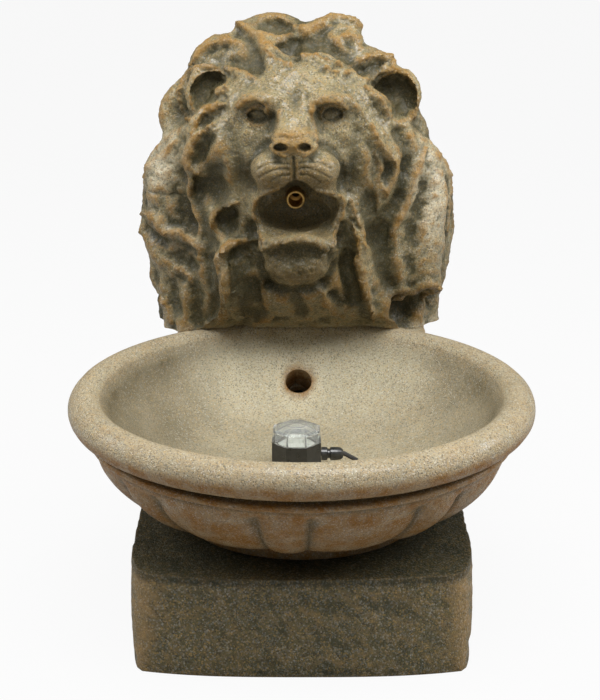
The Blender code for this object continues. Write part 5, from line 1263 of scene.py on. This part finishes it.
def makePlinthCasting():
    given = plinthCasting
    half, front, back, height = given["width"] / 2, given["front"], given["back"], given["height"]
    plinth = hewBlock("plinthCasting", (-half, front, 0.0), (half, back, height), given["cuts"])
    points = readPoints(plinth.data)
    x, y, z = points.T
    side = x / half
    share = unit((y - front) / given["frontCurve"])
    lift = z / height
    narrow = given["frontWidth"] / 2 + given["flare"] * (1 - lift)
    broad = half - given["belly"] * (2 * lift - 1) ** 2
    newX = side * (narrow + (broad - narrow) * np.sqrt(share * (2 - share)))
    newY = y + given["bow"] * np.abs(side) ** 3 * (back - y) / (back - front)
    hewn = np.abs(noiseLayers(points, given["hewn"]))
    onSide = (np.abs(side) > 0.999) & (z > 0.001) & (y < back - 0.001)
    onFront = (y < front + 0.0005) & (z > 0.001)
    newX = np.where(onSide, newX - np.sign(side) * hewn * 1.5, newX)
    newY = np.where(onFront, newY + hewn * 0.9, newY)
    newZ = np.where((z > height - 0.0005) & (y < 0.09), z - hewn * 0.4, z)
    writePoints(plinth.data, np.stack([newX, newY, newZ], axis=1))
    roundEdges(plinth, given["edge"])

    wall = given["wall"]
    reservoir = addBlock("reservoirBlock", (-half + given["sideWall"], front + given["frontWall"], wall),
                         (half - given["sideWall"], back - wall, height - wall))
    roundEdges(reservoir, 0.004)
    combine(reservoir, addBlock("deckBlock", *given["deckOpening"]), "UNION")
    addUprightBore(reservoir, 0.07, 0.1, 24, *given["leadBore"])
    addBackBore(reservoir, *given["drain"])
    combine(plinth, reservoir)

    points = readPoints(plinth.data)
    x, y, z = points.T
    ridge, hollow = reliefWearDirtAndShade(plinth.data, given["relief"])
    under = np.hypot(x, (y - basinCasting["middleY"]) / basinCasting["depthRatio"])
    # darker towards the plinth's foot
    hollow += slope(z, *given["darkerToFoot"]) * 0.4
    # painted shadow on the deck under the basin, darkest beneath the bowl
    hollow += (z > given["deckFrom"]) * (given["deckShade"] + slope(under, *given["underBowlShade"]) * 0.22)
    inside = inBox(points, given["reservoir"]) * given["reservoirDark"]
    storePaint(plinth.data, ridge=ridge, hollow=np.maximum(hollow, inside))
    finishStone(plinth, "plinthStone", "fountain", "dark_sandstone", "plinth")


makePlinthCasting()


# Column behind the basin, with its service panel

columnCasting = {
    "width": 0.236,
    "front": 0.100,
    "back": 0.2135,
    "bottom": 0.0893,
    "top": 0.2045,
    "wall": 0.009,
    "spread": 0.03,
    "edge": 0.0035,
    "cuts": (24, 24, 24),
    "hewn": [(0.045, 31, 0.0014), (0.014, 32, 0.0005)],
    "ductInset": 0.018,
    "openings": [((-0.055, 0.1935, 0.106), (0.055, 0.2235, 0.186)),
                 ((-0.0613, 0.2102, 0.0997), (0.0613, 0.2235, 0.1923))],
    "hoseBore": (-0.0055, 0.1857, 0.0101),
    "inlet": (-0.078, 0.122, 0.0083, 0.0123, 0.211),
    "screws": [(-0.058, 0.103), (0.058, 0.103), (-0.058, 0.189), (0.058, 0.189)],
    "screwBore": (0.2035, 0.2135, 0.0018),
    "relief": {"rounds": (3, 18), "ridge": [(0.0004, 0.6)], "hollow": [(0.0004, 0.4), (0.0009, 0.5)]},
    "darkerToFoot": (0.125, -0.03),
}


def makeColumnCasting():
    given = columnCasting
    half, wall, inset = given["width"] / 2, given["wall"], given["ductInset"]
    front, back, bottom, top = (given[key] for key in ("front", "back", "bottom", "top"))
    column = hewBlock("columnCasting", (-half, front, bottom), (half, back, top), given["cuts"])
    points = readPoints(column.data)
    x, y, z = points.T
    lift = (z - bottom) / (top - bottom)
    hewn = np.abs(noiseLayers(points, given["hewn"]))
    onSide = (np.abs(x) > half - 0.0005) & (y < back - 0.001)
    newX = x * (1 + given["spread"] * (1 - lift))
    newX = np.where(onSide, newX - np.sign(x) * hewn, newX)
    writePoints(column.data, np.stack([newX, y, z], axis=1))
    roundEdges(column, given["edge"])
    combine(column, basinSeat(0.0003))

    duct = addBlock("ductBlock", (-half + inset, front + wall, 0.08), (half - inset, back - wall, top - wall))
    combine(duct, basinSeat(wall, False))
    for opening in given["openings"]:
        combine(duct, addBlock("openingBlock", *opening), "UNION")
    addUprightBore(duct, 0.18, 0.22, 32, *given["hoseBore"])
    addBackBore(duct, *given["inlet"])
    combine(column, duct)
    combine(column, addReturnBore(48))
    start, end, radius = given["screwBore"]
    for x, z in given["screws"]:
        combine(column, addRod("screwBore", (x, start, z), (x, end, z), radius, 16))

    ridge, hollow = reliefWearDirtAndShade(column.data, given["relief"])
    # darker towards the column's foot
    hollow += slope(readPoints(column.data)[:, 2], *given["darkerToFoot"]) * 0.35
    storePaint(column.data, ridge=ridge, hollow=hollow)
    finishStone(column, "basinStone", "fountain", "cast_sandstone", "back_column")


makeColumnCasting()


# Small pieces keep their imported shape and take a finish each

finishes = {  # tint, worn tint, span of roughness, metal, grain, bump, coat, and the pieces that have it
    "blackPlastic": ((0.014, 0.015, 0.014), (0.045, 0.045, 0.04), (0.22, 0.45), 0.0, 160.0, 0.00012, 0.4,
                     ["lamp_housing", "lamp_gland", "pump_body", "pump_volute", "pump_gland", "intake_strainer",
                      "power_inlet", "lead_junction", "drain_plug"]),
    "greyPlastic": ((0.16, 0.17, 0.18), (0.24, 0.24, 0.23), (0.35, 0.55), 0.0, 420.0, 0.00010, 0.0,
                    ["impeller", "flow_dial"]),
    "blackRubber": ((0.022, 0.021, 0.020), (0.060, 0.057, 0.050), (0.6, 0.85), 0.0, 520.0, 0.00016, 0.0,
                    ["lamp_lead", "pump_lead", "inlet_lead", "lamp_grommet", "lens_seal",
                     *(f"suction_foot_{number}" for number in range(1, 5))]),
    "stainlessSteel": ((0.60, 0.60, 0.58), (0.38, 0.34, 0.28), (0.22, 0.42), 1.0, 700.0, 0.00006, 0.0,
                       ["hose_clip_lower", "hose_clip_upper", "impeller_shaft",
                        *(f"panel_screw_{number}" for number in range(1, 5))]),
    "agedBrass": ((0.62, 0.40, 0.13), (0.26, 0.15, 0.06), (0.24, 0.50), 1.0, 300.0, 0.00012, 0.0,
                  ["spout_tube", "shaft_bush_inner", "shaft_bush_outer"]),
    "vinylHose": ((0.62, 0.66, 0.60), (0.48, 0.50, 0.40), (0.16, 0.35), 0.0, 90.0, 0.00012, 0.5,
                  ["delivery_hose"]),
    "filterFoam": ((0.030, 0.030, 0.034), (0.085, 0.080, 0.060), (0.90, 1.0), 0.0, 900.0, 0.0009, 0.0,
                   ["filter_foam"]),
    "whiteBoard": ((0.74, 0.75, 0.71), (0.60, 0.60, 0.52), (0.40, 0.60), 0.0, 260.0, 0.00008, 0.1, ["led_board"]),
}

lensGlass = {"tint": (0.93, 0.95, 0.93), "wear": (0.80, 0.82, 0.78), "rough": (0.03, 0.14), "scale": 240.0,
             "bump": 0.0002, "ior": 1.46, "clear": 0.9}


def makeWearGroup():
    tree, given, result = newGroup("surfaceWear", {"Scale": 300.0}, ("Scuff", "Grain", "Cells"))
    place, scale = given["Vector"], given["Scale"]
    broad = addNode(tree, "TexNoise", {"Vector": place, "Scale": 60.0, "Detail": 5.0, "Roughness": 0.65})
    grain = addNode(tree, "TexNoise", {"Vector": place, "Scale": scale, "Detail": 3.0})
    cells = addNode(tree, "TexVoronoi", {"Vector": place, "Scale": scale})
    setInputs(tree, result, {"Scuff": ramp(tree, broad.outputs[0], 0.45, 0.7), "Grain": grain.outputs[0],
                             "Cells": cells.outputs["Distance"]})
    return tree


def makeFinish(name, tint, worn, rough, metal, scale, bump, coat):
    material, tree, shader = newMaterial(name)
    wear = useGroup(tree, surfaceWear, {"Scale": scale})
    amount = multiply(tree, wear["Scuff"], ramp(tree, wear["Grain"], 0.35, 0.65))
    setInputs(tree, shader, {
        "Base Color": mixColours(tree, amount, tint, worn), "Metallic": metal, "Coat Weight": coat,
        "Roughness": ramp(tree, wear["Grain"], 0.3, 0.7, *rough),
        "Normal": addBump(tree, wear["Cells" if name == "filterFoam" else "Grain"], 0.6, bump)})
    return material


def makeLensGlass():
    given = lensGlass
    material, tree, shader = newMaterial("lensGlass")
    wear = useGroup(tree, surfaceWear, {"Scale": given["scale"]})
    setInputs(tree, shader, {
        "Base Color": mixColours(tree, wear["Scuff"], given["tint"], given["wear"]),
        "Roughness": ramp(tree, wear["Grain"], 0.3, 0.7, *given["rough"]),
        "Transmission Weight": given["clear"], "IOR": given["ior"],
        "Normal": addBump(tree, wear["Grain"], 0.25, given["bump"])})
    return material


def dress(name, material):
    for slot in nodes[name].material_slots:
        slot.material = material


surfaceWear = makeWearGroup()
for finish, (*look, names) in finishes.items():
    material = makeFinish(finish, *look)
    for name in names:
        dress(name, material)
dress("lamp_lens", makeLensGlass())
dress("access_panel", stones["basinStone"])
print("packed pieces dressed")
